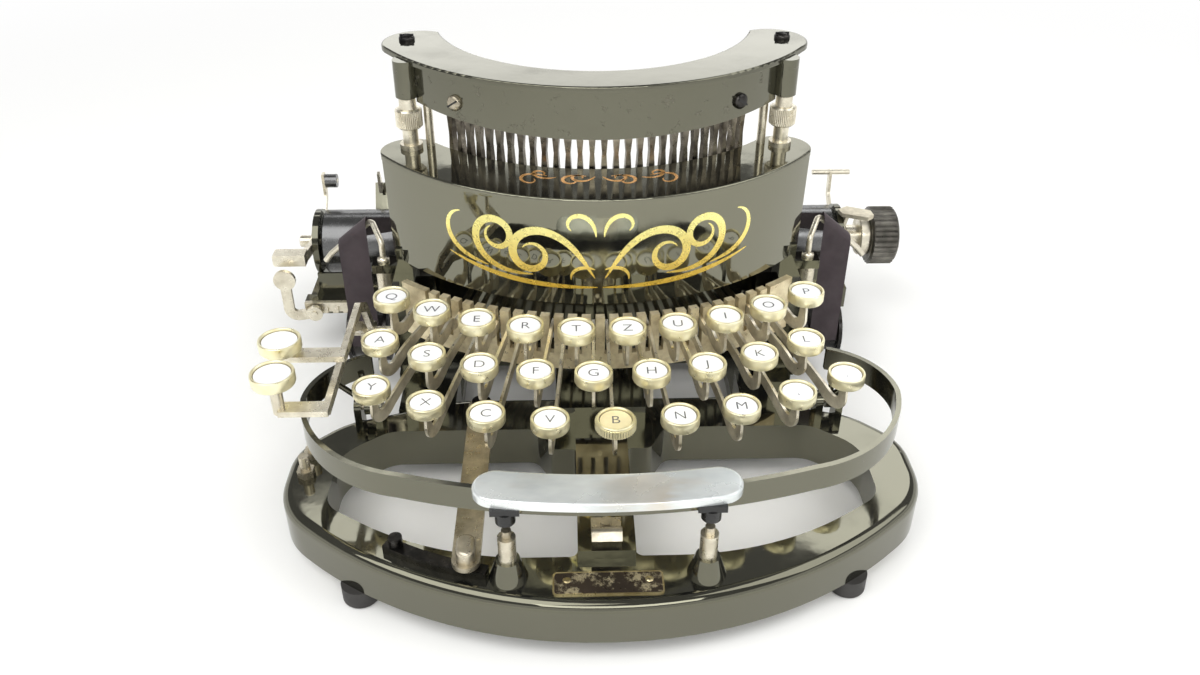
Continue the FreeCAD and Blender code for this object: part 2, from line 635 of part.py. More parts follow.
def cover():
    """Crescent lid and hanging wall over the type heads."""
    end = [Vector(COVER_HALF_WIDTH, -COVER_SIDE_Y, 0), Vector(COVER_HALF_WIDTH + 0.7, -44, 0),
           Vector(COVER_INNER_X, -COVER_INNER_Y, 0)]
    left = [Vector(-p.x, p.y, 0) for p in end]
    plan = [
        arc(left[0], Vector(0, -COVER_FRONT, 0), end[0]),
        arc(end[0], end[1], end[2]),
        arc(end[2], Vector(0, -COVER_INNER + 1.5, 0), left[2]),
        arc(left[2], left[1], left[0]),
    ]
    lid = plate(plan, COVER_TOP - COVER_LID, COVER_TOP)
    lid = lid.makeFillet(0.8, flat_edges(lid, COVER_TOP))
    half = math.degrees(math.asin(COVER_WALL_HALF / COVER_WALL_RADIUS))
    wall = arc_band(COVER_WALL_RADIUS - COVER_WALL, COVER_WALL_RADIUS, half,
                    COVER_SKIRT - 10, COVER_TOP - COVER_LID + 0.5)
    wall.translate(Vector(0, -COVER_WALL_CENTRE, 0))
    below = box(-150, -150, -60, 150, 150, 0)
    below.rotate(Vector(0, 0, 0), Vector(1, 0, 0), COVER_TILT)
    below.translate(Vector(0, -COVER_WALL_RADIUS - COVER_WALL_CENTRE, COVER_SKIRT))
    boss = rod((PILLAR_X, -PILLAR_Y, 147.5), (PILLAR_X, -PILLAR_Y, COVER_TOP - 1), 9.0)
    whole = fused(lid, wall.cut(below), boss, mirrored(boss))
    stud_holes = [rod((x, -PILLAR_Y, 120), (x, -PILLAR_Y, 155), 3.6 + 2 * BORE_PLAY)
                  for x in (-PILLAR_X, PILLAR_X)]
    add("type_cover", whole.cut(stud_holes))
    for x in (-PILLAR_X, PILLAR_X):
        foot = rod((x, -PILLAR_Y, SHIELD_TOP), (x, -PILLAR_Y, SHIELD_TOP + 2), 9.4)
        pillar = rod((x, -PILLAR_Y, SHIELD_TOP + 2), (x, -PILLAR_Y, NUT_BOTTOM), PILLAR_DIAMETER)
        stud = rod((x, -PILLAR_Y, NUT_BOTTOM), (x, -PILLAR_Y, 154.5), 3.6)
        add("cover_pillars", fused(foot, pillar, stud))
        nut = rod((x, -PILLAR_Y, NUT_BOTTOM), (x, -PILLAR_Y, NUT_BOTTOM + NUT_HEIGHT), NUT_DIAMETER)
        collar = rod((x, -PILLAR_Y, NUT_BOTTOM + NUT_HEIGHT), (x, -PILLAR_Y, 147.4), 7.0)
        bore = rod((x, -PILLAR_Y, 130), (x, -PILLAR_Y, 150), 3.6 + 2 * BORE_PLAY)
        add("nuts_and_screws", nut.fuse(collar).cut(bore).removeSplitter())
    for x in (-POST_X, POST_X):
        post = rod((x, -POST_Y, SHIELD_TOP), (x, -POST_Y, COVER_TOP - COVER_LID), POST_DIAMETER)
        add("cover_pillars", post)
    half_screw = 56.0
    for x in (-half_screw, half_screw):
        radius = COVER_WALL_RADIUS
        y = -COVER_WALL_CENTRE - math.sqrt(radius ** 2 - x ** 2)
        outward = Vector(x, y + COVER_WALL_CENTRE, 0).normalize()
        start = Vector(x, y, 150.5)
        head = Part.makeCylinder(3.2, 2.2, start, outward)
        arc_cut = arc_band(40, COVER_WALL_RADIUS + 0.02, 60, 100, 170)
        arc_cut.translate(Vector(0, -COVER_WALL_CENTRE, 0))
        add("nuts_and_screws", head.cut(arc_cut))
    for x in (-78, 78):
        add("nuts_and_screws", rod((x, -50.5, COVER_TOP), (x, -50.5, COVER_TOP + 2.4), 6.6))


def typebar(index):
    """One upright typebar with its slug, hung on the pivot wire."""
    half = BAR_THICKNESS / 2
    back = -BAR_RADIUS + BAR_DEPTH / 2
    front = -BAR_RADIUS - BAR_DEPTH / 2
    lower = box(-half, front, BAR_PIVOT_Z - 3.5, half, back, 117)
    neck = [(-1.5, 116), (1.5, 116), (1.5, 121), (0.85, 131), (HEAD_WIDTH / 2, 142), (HEAD_WIDTH / 2, 160),
            (-HEAD_WIDTH / 2, 160), (-HEAD_WIDTH / 2, 142), (-0.85, 131), (-1.5, 121)]
    points = [Vector(x, -BAR_RADIUS - 1.4, z) for x, z in neck]
    head = Part.Face(Part.makePolygon(points + [points[0]])).extrude(Vector(0, 2.8, 0))
    slug = box(-HEAD_WIDTH / 2 + 0.2, -BAR_RADIUS, 151.5, HEAD_WIDTH / 2 - 0.2,
               -BAR_RADIUS + TYPE_REACH, 160)
    pin_y, pin_z = -BAR_RADIUS + TAIL_IN, BAR_PIVOT_Z + TAIL_UP
    tail = rod((-half, pin_y, pin_z), (half, pin_y, pin_z), 3.4)
    bar = fused(lower, head, slug, tail)
    bore = rod((-3, -BAR_RADIUS, BAR_PIVOT_Z), (3, -BAR_RADIUS, BAR_PIVOT_Z), BAR_WIRE + 2 * BORE_PLAY)
    bar = bar.cut(bore)
    if index in LIVE_BARS:
        pin = rod((half - 0.2, pin_y, pin_z), (half + SLOT_PLAY + LEVER_THICKNESS, pin_y, pin_z), BAR_PIN)
        bar = fused(bar, pin)
    return turned(bar, bar_angle(index))


def typebars():
    """Two typebars that swing, and the rest as one group."""
    for index in range(LEVER_COUNT):
        name = "typebars"
        if index in LIVE_BARS:
            name = "typebar_live_" + "ab"[LIVE_BARS.index(index)]
        add(name, typebar(index))


# ---------------------------------------------------------------- keys
def key_lever(index, row):
    """Bent steel lever: straight front arm, joggle and straight rear arm."""
    radius, top, hook = ROW_RADIUS[row], ROW_TOP[row], ROW_HOOK[row]
    under = top - CAP_HEIGHT
    front_points = [(radius, under), (radius, hook + 2), (radius - 9, hook + 2.6),
                    (COMB_RADIUS + 5, COMB_LEVER_Z), (LEVER_DROP_RADIUS + 17, COMB_LEVER_Z)]
    front = radial_strip(front_points, 2.6, STEM_WIDTH, LEVER_THICKNESS)
    a, b = lever_angle(index), rear_angle(index)
    front = turned(front, a)
    half = LEVER_THICKNESS / 2
    start = fan(LEVER_DROP_RADIUS + 17, a)
    finish = fan(LEVER_DROP_RADIUS, b)
    along = Vector(finish - start).normalize()
    across = Vector(-along.y, along.x, 0) * half
    start = start - along * 0.3
    finish = finish + along * 0.3
    upper0, lower0 = COMB_LEVER_Z + STEM_WIDTH / 2, COMB_LEVER_Z - STEM_WIDTH / 2
    upper1, lower1 = LEVER_REAR_Z + LEVER_WIDTH / 2, LEVER_REAR_Z - LEVER_WIDTH / 2
    corners = [
        Vector(start.x, start.y, lower0) - across,
        Vector(finish.x, finish.y, lower1) - across,
        Vector(finish.x, finish.y, upper1) - across,
        Vector(start.x, start.y, upper0) - across,
    ]
    joggle = Part.Face(Part.makePolygon(corners + [corners[0]])).extrude(across * 2)
    rear_points = [(LEVER_DROP_RADIUS + 0.2, LEVER_REAR_Z), (FULCRUM_RADIUS - 3, FULCRUM_Z)]
    rear = radial_strip(rear_points, 1.0, LEVER_WIDTH, LEVER_THICKNESS)
    bore = rod((-3, -FULCRUM_RADIUS, FULCRUM_Z), (3, -FULCRUM_RADIUS, FULCRUM_Z),
               FULCRUM_WIRE + 2 * BORE_PLAY)
    if index in LIVE_BARS:
        pin_y, pin_z = -BAR_RADIUS + TAIL_IN, BAR_PIVOT_Z + TAIL_UP
        hook_z = pin_z + BAR_PIN / 2 + HOOK_PLAY
        finger = box(-half, pin_y + 1.76, LEVER_REAR_Z - 1, half, pin_y + 3.9, hook_z + 0.9)
        hook = box(-half, pin_y - 0.09, hook_z, half, pin_y + 3.9, hook_z + 0.9)
        rear = fused(rear, finger, hook)
    rear = turned(rear.cut(bore), b)
    return fused(front, joggle, rear)


def key_cap(index, row):
    """Nickel cup, card and glass on top of a lever."""
    centre = fan(ROW_RADIUS[row], lever_angle(index))
    top = ROW_TOP[row]
    x, y = centre.x, centre.y
    outer = rod((x, y, top - CAP_HEIGHT), (x, y, top), CAP_DIAMETER)
    outer = outer.makeFillet(0.5, flat_edges(outer, top))
    well = rod((x, y, top - CAP_HEIGHT + CAP_FLOOR), (x, y, top + 1), CAP_DIAMETER - 2 * CAP_WALL)
    cup = outer.cut(well)
    inside = CAP_DIAMETER - 2 * CAP_WALL - 0.1
    floor = top - CAP_HEIGHT + CAP_FLOOR
    card = rod((x, y, floor), (x, y, floor + CARD_THICKNESS), inside)
    glass = rod((x, y, floor + CARD_THICKNESS), (x, y, floor + CARD_THICKNESS + GLASS_THICKNESS), inside)
    return [cup, card, glass]


def keys():
    counts = [0, 0, 0]
    for index in range(LEVER_COUNT):
        row = index % 3
        counts[row] += 1
        name = "key_%s_%d" % (ROW_NAMES[row], counts[row])
        add(name, key_lever(index, row), *key_cap(index, row))


# ---------------------------------------------------------------- space bar
def hoop_outline(inset):
    """The hoop's plan, drawn inset from its outside."""
    side = Vector(HOOP_HALF_WIDTH - inset, -158, 0)
    shoulder = Vector(74 - inset * 0.4, -203.6 + inset, 0)
    rear = Vector(92, -127 - inset, 0)
    shoulder_mid = Vector(104.6 - inset * 0.75, -184.5 + inset * 0.6, 0)
    rear_mid = Vector(109.0 - inset * 0.8, -138.5 - inset * 0.6, 0)
    pairs = [(shoulder, shoulder_mid, side), (side, rear_mid, rear)]
    edges = [arc(Vector(-shoulder.x, shoulder.y, 0), Vector(0, -215 + inset, 0), shoulder)]
    for a, b, c in pairs:
        edges.append(arc(a, b, c))
        edges.append(arc(Vector(-a.x, a.y, 0), Vector(-b.x, b.y, 0), Vector(-c.x, c.y, 0)))
    edges.append(line(Vector(-rear.x, rear.y, 0), rear))
    return Part.Face(Part.Wire(Part.__sortEdges__(edges)))


def space_hoop():
    """Flat strip hoop on two hinged legs, with bumpers over the stops."""
    outer = hoop_outline(0)
    inner = hoop_outline(HOOP_THICKNESS)
    inner.translate(Vector(0, 0, -1))
    strip = outer.extrude(Vector(0, 0, HOOP_HEIGHT)).cut(inner.extrude(Vector(0, 0, HOOP_HEIGHT + 2)))
    strip = strip.cut(box(-93, -140, -2, 93, -100, HOOP_HEIGHT + 2))
    strip.translate(Vector(0, 0, HOOP_TOP - HOOP_HEIGHT))
    pieces = [strip]
    y, z = -HOOP_PIVOT_Y, HOOP_PIVOT_Z
    for side in (-1, 1):
        x = side * HOOP_PIVOT_X
        eye = rod((x - 1.5, y, z), (x + 1.5, y, z), 7.0)
        upright = rod((x, y, z), (x + side * 0.5, y - 3.4, 53), 2.6)
        brace = rod((x, y, z + 1), (x + side * 9.6, y - 9.4, 52), 2.4)
        pieces.extend([eye, upright, brace])
    hoop = fused(*pieces)
    bore = rod((HOOP_PIVOT_X - 3, y, z), (HOOP_PIVOT_X + 3, y, z), HOOP_PIN + 2 * BORE_PLAY)
    bores = [bore, mirrored(bore)]
    add("space_hoop", hoop.cut(bores))
    for side in (-1, 1):
        x = side * HOOP_PIVOT_X
        add("base_fittings", rod((x - 5.7, y, z), (x + 5.7, y, z), HOOP_PIN))
    for x in (-STOP_X, STOP_X):
        block = box(x - 5, -STOP_Y - 3, HOOP_TOP - 2.5, x + 5, -212, HOOP_TOP)
        block = block.cut(strip)
        bumper = rod((x, -STOP_Y, STOP_TIP + BUMPER_GAP), (x, -STOP_Y, HOOP_TOP - 2.5), 7.0)
        add("space_hoop", *block.Solids, bumper)


def space_bar():
    """Long finger plate with round ends, bowed along the hoop's front."""
    radius = BAR_PLATE_DEPTH / 2
    top = HOOP_TOP + BAR_PLATE_THICKNESS
    half_angle = math.degrees((BAR_LENGTH / 2 - radius) / BAR_BOW_RADIUS)
    pieces = [arc_band(BAR_BOW_RADIUS - radius, BAR_BOW_RADIUS + radius, half_angle, HOOP_TOP, top)]
    for angle in (-half_angle, half_angle):
        end = fan(BAR_BOW_RADIUS, angle)
        pieces.append(rod((end.x, end.y, HOOP_TOP), (end.x, end.y, top), BAR_PLATE_DEPTH))
    bar = fused(*pieces)
    bar.translate(Vector(0, BAR_BOW_RADIUS - BAR_Y, 0))
    bar = bar.makeFillet(1.2, flat_edges(bar, top))
    add("space_bar", bar)


# ---------------------------------------------------------------- shift keys
def shift_lever(name, centre_x, centre_y, arm_x, plate_z):
    """Round shift key on a cross strap and a hinged side arm."""
    top = ROW_TOP[0]
    under = top - CAP_HEIGHT
    y, z = -SHIFT_PIVOT_Y, SHIFT_PIVOT_Z
    arm_z = plate_z + 0.4
    arm = side_strip([(y, z), (y - 12, arm_z - 6), (y - 22, arm_z), (centre_y, arm_z)],
                     3.0, 4.0, arm_x - 1.2, arm_x + 1.2)
    eye = rod((arm_x - 1.2, y, z), (arm_x + 1.2, y, z), 9.0)
    strap = plan_strip([(arm_x + 1.2, centre_y), (centre_x, centre_y)], 1.0, 6.5, plate_z, plate_z + 2.4)
    stem = rod((centre_x, centre_y, plate_z), (centre_x, centre_y, under), 4.5)
    lever = fused(arm, eye, strap, stem)
    lever = lever.cut(rod((arm_x - 3, y, z), (arm_x + 3, y, z), 4.0 + 2 * BORE_PLAY))
    outer = rod((centre_x, centre_y, under), (centre_x, centre_y, top), SHIFT_CAP_DIAMETER)
    inside = SHIFT_CAP_DIAMETER - 2 * CAP_WALL
    floor = under + CAP_FLOOR
    cup = outer.cut(rod((centre_x, centre_y, floor), (centre_x, centre_y, top + 1), inside))
    card = rod((centre_x, centre_y, floor), (centre_x, centre_y, floor + CARD_THICKNESS), inside - 0.1)
    glass = rod((centre_x, centre_y, floor + CARD_THICKNESS),
                (centre_x, centre_y, floor + CARD_THICKNESS + GLASS_THICKNESS), inside - 0.1)
    add(name, lever, cup, card, glass)


def shift_keys():
    shift_lever("shift_lever_upper", -120.7, -153.2, -98.0, 75.2)
    shift_lever("shift_lever_lower", -118.5, -174.8, -101.5, 66.0)
    y, z = -SHIFT_PIVOT_Y, SHIFT_PIVOT_Z
    add("ribbon_brackets", rod((-107, y, z), (-88, y, z), 4.0))
    for x, py in ((-117, -163), (-116.5, -151)):
        corners = [Vector(x, py, RIM_TOP) + fan(3.6, 60 * i) for i in range(7)]
        hexagon = Part.Face(Part.makePolygon(corners)).extrude(Vector(0, 0, 3.2))
        post = rod((x, py, RIM_TOP), (x, py, RIM_TOP + 9.5), 4.0)
        add("base_fittings", fused(hexagon, post))


# ---------------------------------------------------------------- carriage
def ways_and_cradle():
    """Fixed ways on the arms, and the shifted cradle that rides on them."""
    for side in (-1, 1):
        x0, x1 = sorted((side * 70, side * 78))
        add("frame_castings", box(x0, -36, ARM_TOP, x1, 50, ARM_TOP + 4))
    z = ARM_TOP + 4
    pieces = []
    for side in (-1, 1):
        x0, x1 = sorted((side * 66, side * 82))
        pieces.append(box(x0, -34, z, x1, 36, z + 2.5))
    for y0, y1 in ((-33, -23), (25, 35)):
        pieces.append(box(-82, y0, z + 1, 82, y1, z + 4))
        for side in (-1, 1):
            x0, x1 = sorted((side * 60, side * 80))
            for face in (y0, y1 - 1.6):
                pieces.append(box(x0, face, z + 3, x1, face + 1.6, z + 5.2))
    add("shift_cradle", fused(*pieces))


def carriage():
    """Long bars, end plates, rack, apron and paper pan."""
    z = ARM_TOP + 8.0 + 0.05
    bar_top = z + 7.5
    left, right = -PLATEN_LEFT - 1.5, PLATEN_RIGHT + 1.5
    pieces = []
    for y0, y1 in ((-31.2, -24.8), (26.8, 33.2)):
        pieces.append(box(left - END_PLATE - 3.5, y0, z, right + END_PLATE, y1, bar_top))
    for x0 in (left - END_PLATE, right):
        x1 = x0 + END_PLATE
        pieces.append(box(x0, -31.2, z + 1.6, x1, 33.2, z + 11))
        pieces.append(rod((x0, 0, PLATEN_Z), (x1, 0, PLATEN_Z), 2 * PLATEN_RADIUS + 1))
        pieces.append(box(x0, -10, z + 1.6, x1, 10, PLATEN_Z - 6))
    pieces.append(box(left, -25.0, bar_top - 1, right, -23.4, 38.5))
    frame = fused(*pieces)
    frame = frame.cut(rod((-150, 0, PLATEN_Z), (150, 0, PLATEN_Z), AXLE_DIAMETER + 2 * BORE_PLAY))
    add("carriage_frame", frame)
    teeth = []
    start, end = -PLATEN_LEFT - 8.0, PLATEN_RIGHT - 1.0
    count = int((end - start - 12) / RACK_PITCH)
    blank = box(start, -33.4, bar_top - 6, end, -31.2, bar_top)
    for i in range(count):
        x = start + 6 + i * RACK_PITCH
        teeth.append(box(x, -34, bar_top - 7, x + RACK_PITCH * 0.45, -32.0, bar_top - 2.2))
    add("carriage_frame", blank.cut(teeth))

    barrel = rod((-PLATEN_LEFT, 0, PLATEN_Z), (PLATEN_RIGHT, 0, PLATEN_Z), 2 * PLATEN_RADIUS)
    axle = rod((-150, 0, PLATEN_Z), (SIDE_REACH - 3, 0, PLATEN_Z), AXLE_DIAMETER)
    collar = rod((SIDE_REACH - 19, 0, PLATEN_Z), (SIDE_REACH - 14, 0, PLATEN_Z), 20.0)
    sleeve = rod((PLATEN_RIGHT + 8.5, 0, PLATEN_Z), (SIDE_REACH - 19, 0, PLATEN_Z), 11.0)
    add("platen", fused(barrel, axle, collar, sleeve))
    knob = rod((SIDE_REACH - 14, 0, PLATEN_Z), (SIDE_REACH, 0, PLATEN_Z), KNOB_DIAMETER)
    knob = knob.makeFillet(2.0, [e for e in knob.Edges if abs(e.BoundBox.XMin - SIDE_REACH) < 0.01])
    knob = knob.cut(rod((0, 0, PLATEN_Z), (SIDE_REACH - 3, 0, PLATEN_Z), AXLE_DIAMETER))
    add("platen", knob)

    table = side_strip([(17.6, 30), (18.5, 44), (27, 58), (30, 62)], 8, 1.2, -114, 110)
    add("paper_table", table)
    feet_x = (-90.0, 90.0)
    for x in feet_x:
        stay = box(x - 4, 18.5, bar_top, x + 4, 28, 31.5)
        add("paper_table", stay.cut(table))
    for side in (-1, 1):
        fin = Part.makePolygon([Vector(side * 111, 27.5, 60), Vector(side * 111, 21.5, 60),
                                Vector(side * 111, 20, 71), Vector(side * 111, 22, 72),
                                Vector(side * 111, 27.5, 60)])
        fin = Part.Face(fin).extrude(Vector(-side * 1.4, 0, 0)).cut(table)
        add("paper_table", *fin.Solids)
    guide = side_strip([(12, PLATEN_Z + 9), (20, 60), (20, 72)], 4, 4.0, -139.2, -137.8)
    cut_disc = rod((-160, 0, PLATEN_Z), (-100, 0, PLATEN_Z), 2 * PLATEN_RADIUS + 1)
    guide = guide.cut(cut_disc)
    pin = rod((-137.8, 20, 68), (-131.5, 20, 68), 2.4)
    roller = tube((-137.5, 20, 68), (-131.7, 20, 68), 7.0, 2.5)
    add("paper_table", fused(guide, pin), roller)
    arm = side_strip([(12, PLATEN_Z + 9), (20, 58), (21, 71)], 5, 4.0, 124.8, 126.2)
    finger = rod((116, 20.8, 70), (135.5, 20.8, 70), 2.6)
    add("paper_table", fused(arm.cut(mirrored(cut_disc)), finger))


def carriage_levers():
    """Line-space lever, platen release and carriage release."""
    x0 = -(PLATEN_LEFT + 1.5 + END_PLATE) - 0.4
    eye = rod((x0 - 2.6, 0, PLATEN_Z), (x0, 0, PLATEN_Z), 11.0)
    arm = side_strip([(0, PLATEN_Z), (-27, PLATEN_Z + 5.5)], 1.0, 5.0, x0 - 2.6, x0)
    handle = box(-SIDE_REACH, -31, PLATEN_Z + 2.5, x0, -24, PLATEN_Z + 8.5)
    handle = handle.makeFillet(1.5, [e for e in handle.Edges if abs(e.BoundBox.XMax + SIDE_REACH) < 0.01])
    lever = fused(eye, arm, handle)
    lever = lever.cut(rod((x0 - 9, 0, PLATEN_Z), (x0 + 9, 0, PLATEN_Z), AXLE_DIAMETER + 2 * BORE_PLAY))
    add("line_space_lever", lever)

    x1 = PLATEN_RIGHT + 1.5 + END_PLATE + 0.3
    eye = rod((x1, 0, PLATEN_Z), (x1 + 1.6, 0, PLATEN_Z), 11.0)
    arm = side_strip([(0, PLATEN_Z), (-9.5, PLATEN_Z + 17)], 1.0, 4.5, x1, x1 + 1.6)
    flat = PLATEN_Z + 16.4
    leaf = [Vector(x1 - 3, -6.2, flat), Vector(x1 + 2, -3.2, flat), Vector(x1 + 13, -8.2, flat),
            Vector(x1 + 13.5, -13.2, flat), Vector(x1 + 10, -16.2, flat), Vector(x1 - 2, -11.2, flat)]
    paddle = Part.Face(Part.makePolygon(leaf + [leaf[0]])).extrude(Vector(0, 0, 2.0))
    lever = fused(eye, arm, paddle)
    lever = lever.cut(rod((x1 - 5, 0, PLATEN_Z), (x1 + 5, 0, PLATEN_Z), AXLE_DIAMETER + 2 * BORE_PLAY))
    add("platen_release", lever)

    pivot_x, pivot_z = -139.0, ARM_TOP + 11.0
    pin = rod((pivot_x, -37.2, pivot_z), (pivot_x, -33.4, pivot_z), 3.0)
    add("carriage_frame", pin)
    y0, y1 = -36.6, -34.6
    points = [(pivot_x, pivot_z), (-151.0, 20.5), (-151.0, 41.0)]
    face = strip_face(points, 4.0, 5.0, lambda p: Vector(p.x, y0, p.y))
    arm = face.extrude(Vector(0, y1 - y0, 0))
    disc = rod((-151.0, y0, 41), (-151.0, y1, 41), 10.6)
    eye = rod((pivot_x, y0, pivot_z), (pivot_x, y1, pivot_z), 8.0)
    lever = fused(arm, disc, eye)
    lever = lever.cut(rod((pivot_x, -40, pivot_z), (pivot_x, -30, pivot_z), 3.0 + 2 * BORE_PLAY))
    add("carriage_release", lever)


def mainspring():
    """Spring drum at the back that draws the carriage along."""
    x, y = -38.0, REAR_REACH - DRUM_DIAMETER / 2 - 0.5
    floor = ARM_TOP + 1.0
    drum_case = tube((x, y, floor + 0.2), (x, y, floor + 8.0), DRUM_DIAMETER, 6.0 + 2 * BORE_PLAY)
    add("mainspring_drum", drum_case)
    plinth = rod((x, y, ARM_TOP), (x, y, floor), 12.0)
    post = rod((x, y, ARM_TOP), (x, y, floor + 9), 6.0)
    add("frame_castings", fused(plinth, post))


# ---------------------------------------------------------------- ribbon
def ribbon():
    """Wire hooks, spools and the ribbon between them."""
    top = PLATEN_Z + PLATEN_RADIUS + RIBBON_LIFT
    half = RIBBON_WIDTH / 2
    for side in (-1, 1):
        def at(x, y, z):
            return (side * x, y, z)

        hook = bent_wire([at(93, -80, 78.5), at(93, -80, 85), at(98.2, -69.5, 90.3),
                          at(117.5, -69.5, 74.2), at(120.5, -69.5, 70.5)], 2.6, HOOK_WIRE)
        add("ribbon_brackets", hook)
        x_in, x_out = RIBBON_X - RIBBON_WIDTH / 2, RIBBON_X + RIBBON_WIDTH / 2
        bracket = box(0, -64, ARM_TOP, x_in - 4.2, -56, ARM_TOP + 2.4).cut(box(-1, -70, 0, 70, -50, 30))
        cheek = box(x_in - 6.8, -64, ARM_TOP, x_in - 4.2, -56, SPOOL_Z + 6)
        shaft = rod((x_in - 6, -SPOOL_Y, SPOOL_Z), (x_out + 4.5, -SPOOL_Y, SPOOL_Z), 4.0)
        shape = fused(bracket, cheek, shaft)
        add("ribbon_brackets", shape if side > 0 else mirrored(shape))
        name = "spool_right" if side > 0 else "spool_left"
        bore = rod((80, -SPOOL_Y, SPOOL_Z), (130, -SPOOL_Y, SPOOL_Z), 4.0 + 2 * BORE_PLAY)
        inner = rod((x_in - 2.6, -SPOOL_Y, SPOOL_Z), (x_in - 1.0, -SPOOL_Y, SPOOL_Z), 2 * SPOOL_FLANGE)
        outer = rod((x_out + 1.0, -SPOOL_Y, SPOOL_Z), (x_out + 2.6, -SPOOL_Y, SPOOL_Z), 2 * SPOOL_FLANGE)
        wound = rod((x_in - 1.0, -SPOOL_Y, SPOOL_Z), (x_out + 1.0, -SPOOL_Y, SPOOL_Z), 22.6)
        spool = fused(inner, outer, wound).cut(bore)
        add(name, spool if side > 0 else mirrored(spool))

        front, thick = -RIBBON_DROP_Y, RIBBON_THICKNESS
        slope = [Vector(x_out, front, SPOOL_Z), Vector(x_in, front, SPOOL_Z),
                 Vector(x_in, front, RIBBON_FOLD_IN), Vector(x_out, front, RIBBON_FOLD_OUT)]
        drop = Part.Face(Part.makePolygon(slope + [slope[0]])).extrude(Vector(0, thick, 0))
        rear = front + 5.1
        start = [Vector(x_out, rear, RIBBON_FOLD_OUT + 2), Vector(x_in, rear, RIBBON_FOLD_IN + 2),
                 Vector(x_in, rear, RIBBON_FOLD_IN + 2 + thick), Vector(x_out, rear, RIBBON_FOLD_OUT + 2 + thick)]
        finish = [Vector(10, half, top), Vector(10, -half, top),
                  Vector(10, -half, top + thick), Vector(10, half, top + thick)]
        ends = [Part.makePolygon(corners + [corners[0]]) for corners in (start, finish)]
        span = Part.makeLoft(ends, True, True)
        for piece in (drop, span):
            add("ribbon", piece if side > 0 else mirrored(piece))
    add("ribbon", box(-10, -half, top, 10, half, top + RIBBON_THICKNESS))


# ---------------------------------------------------------------- export
def build():
    base_casting()
    feet()
    nameplate()
    rib_latch()
    bar_stops()
    selector()
    basket_frame()
    side_uprights()
    shield()
    cover()
    typebars()
    keys()
    space_hoop()
    space_bar()
    shift_keys()
    ways_and_cradle()
    carriage()
    carriage_levers()
    mainspring()
    ribbon()


def export():
    """Move the pieces to the final origin and write one STEP each."""
    os.makedirs("parts", exist_ok=True)
    shift = Vector(0, (FRONT_REACH - REAR_REACH) / 2, 0)
    for name, shapes in sorted(PARTS.items()):
        solids = [solid for shape in shapes for solid in shape.Solids]
        whole = Part.makeCompound(solids)
        whole.translate(shift)
        whole.exportStep("parts/%s.step" % name)
        bad = [i for i, solid in enumerate(solids) if not solid.isValid()]
        print("%-20s %2d solids %9.0f mm3 %s" % (name, len(solids), whole.Volume, bad or ""))
    print(len(PARTS), "nodes")


build()
export()
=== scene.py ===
"""Looks of the keyed typewriter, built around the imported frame."""
import json
import math

import bmesh
import bpy
from mathutils import Matrix, Quaternion, Vector


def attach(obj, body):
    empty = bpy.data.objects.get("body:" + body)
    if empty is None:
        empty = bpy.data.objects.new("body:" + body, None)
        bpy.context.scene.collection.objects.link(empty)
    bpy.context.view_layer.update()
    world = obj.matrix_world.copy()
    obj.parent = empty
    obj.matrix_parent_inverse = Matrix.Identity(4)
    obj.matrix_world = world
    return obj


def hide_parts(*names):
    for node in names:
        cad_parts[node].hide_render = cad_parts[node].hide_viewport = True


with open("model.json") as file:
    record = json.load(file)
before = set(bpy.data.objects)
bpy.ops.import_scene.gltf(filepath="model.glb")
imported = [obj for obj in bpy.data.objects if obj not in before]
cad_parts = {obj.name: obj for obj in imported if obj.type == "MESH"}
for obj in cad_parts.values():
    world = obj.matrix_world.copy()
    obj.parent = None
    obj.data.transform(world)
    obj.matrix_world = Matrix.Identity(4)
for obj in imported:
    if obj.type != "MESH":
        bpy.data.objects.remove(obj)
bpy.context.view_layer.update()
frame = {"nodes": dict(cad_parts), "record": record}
nodes = frame["nodes"]
MM = 0.001
FAN_SHIFT = 85.0             # the fan's centre lies this far behind the origin, in millimetres
BODY_OF = {node: body for body, members in frame["record"]["behaviour"]["bodies"].items()
           for node in members}
SLOT_OF = {row["node"]: row["material_slot"] for row in frame["record"]["subparts"]}


def at(x, y, z):
    """A point given in millimetres from the print point."""
    return Vector((x, y + FAN_SHIFT, z)) * MM


def new_object(name, data):
    """An object of its own in the scene."""
    obj = bpy.data.objects.new(name, data)
    bpy.context.scene.collection.objects.link(obj)
    return obj


def set_inputs(tree, node, values):
    """Gives a node's inputs plain values, or links to other nodes' outputs."""
    for socket, value in values.items():
        if isinstance(value, bpy.types.NodeSocket):
            tree.links.new(value, node.inputs[socket])
        else:
            node.inputs[socket].default_value = value


def new_node(tree, kind, inputs=None, **settings):
    """A node with its settings and its inputs."""
    node = tree.nodes.new(kind)
    for name, value in settings.items():
        setattr(node, name, value)
    set_inputs(tree, node, inputs or {})
    return node


# ---------------------------------------- camera and light
CAMERA_PLACE = (-12.3, -398.3, 300.1)    # millimetres
CAMERA_PITCH = 33.37                     # degrees downwards
CAMERA_YAW = 1.97                        # degrees to the right
CAMERA_LEAN = 0.3                        # degrees about the line of sight
LENS_LENGTH = 31.5                       # millimetres
SENSOR_WIDTH = 36.0                      # millimetres


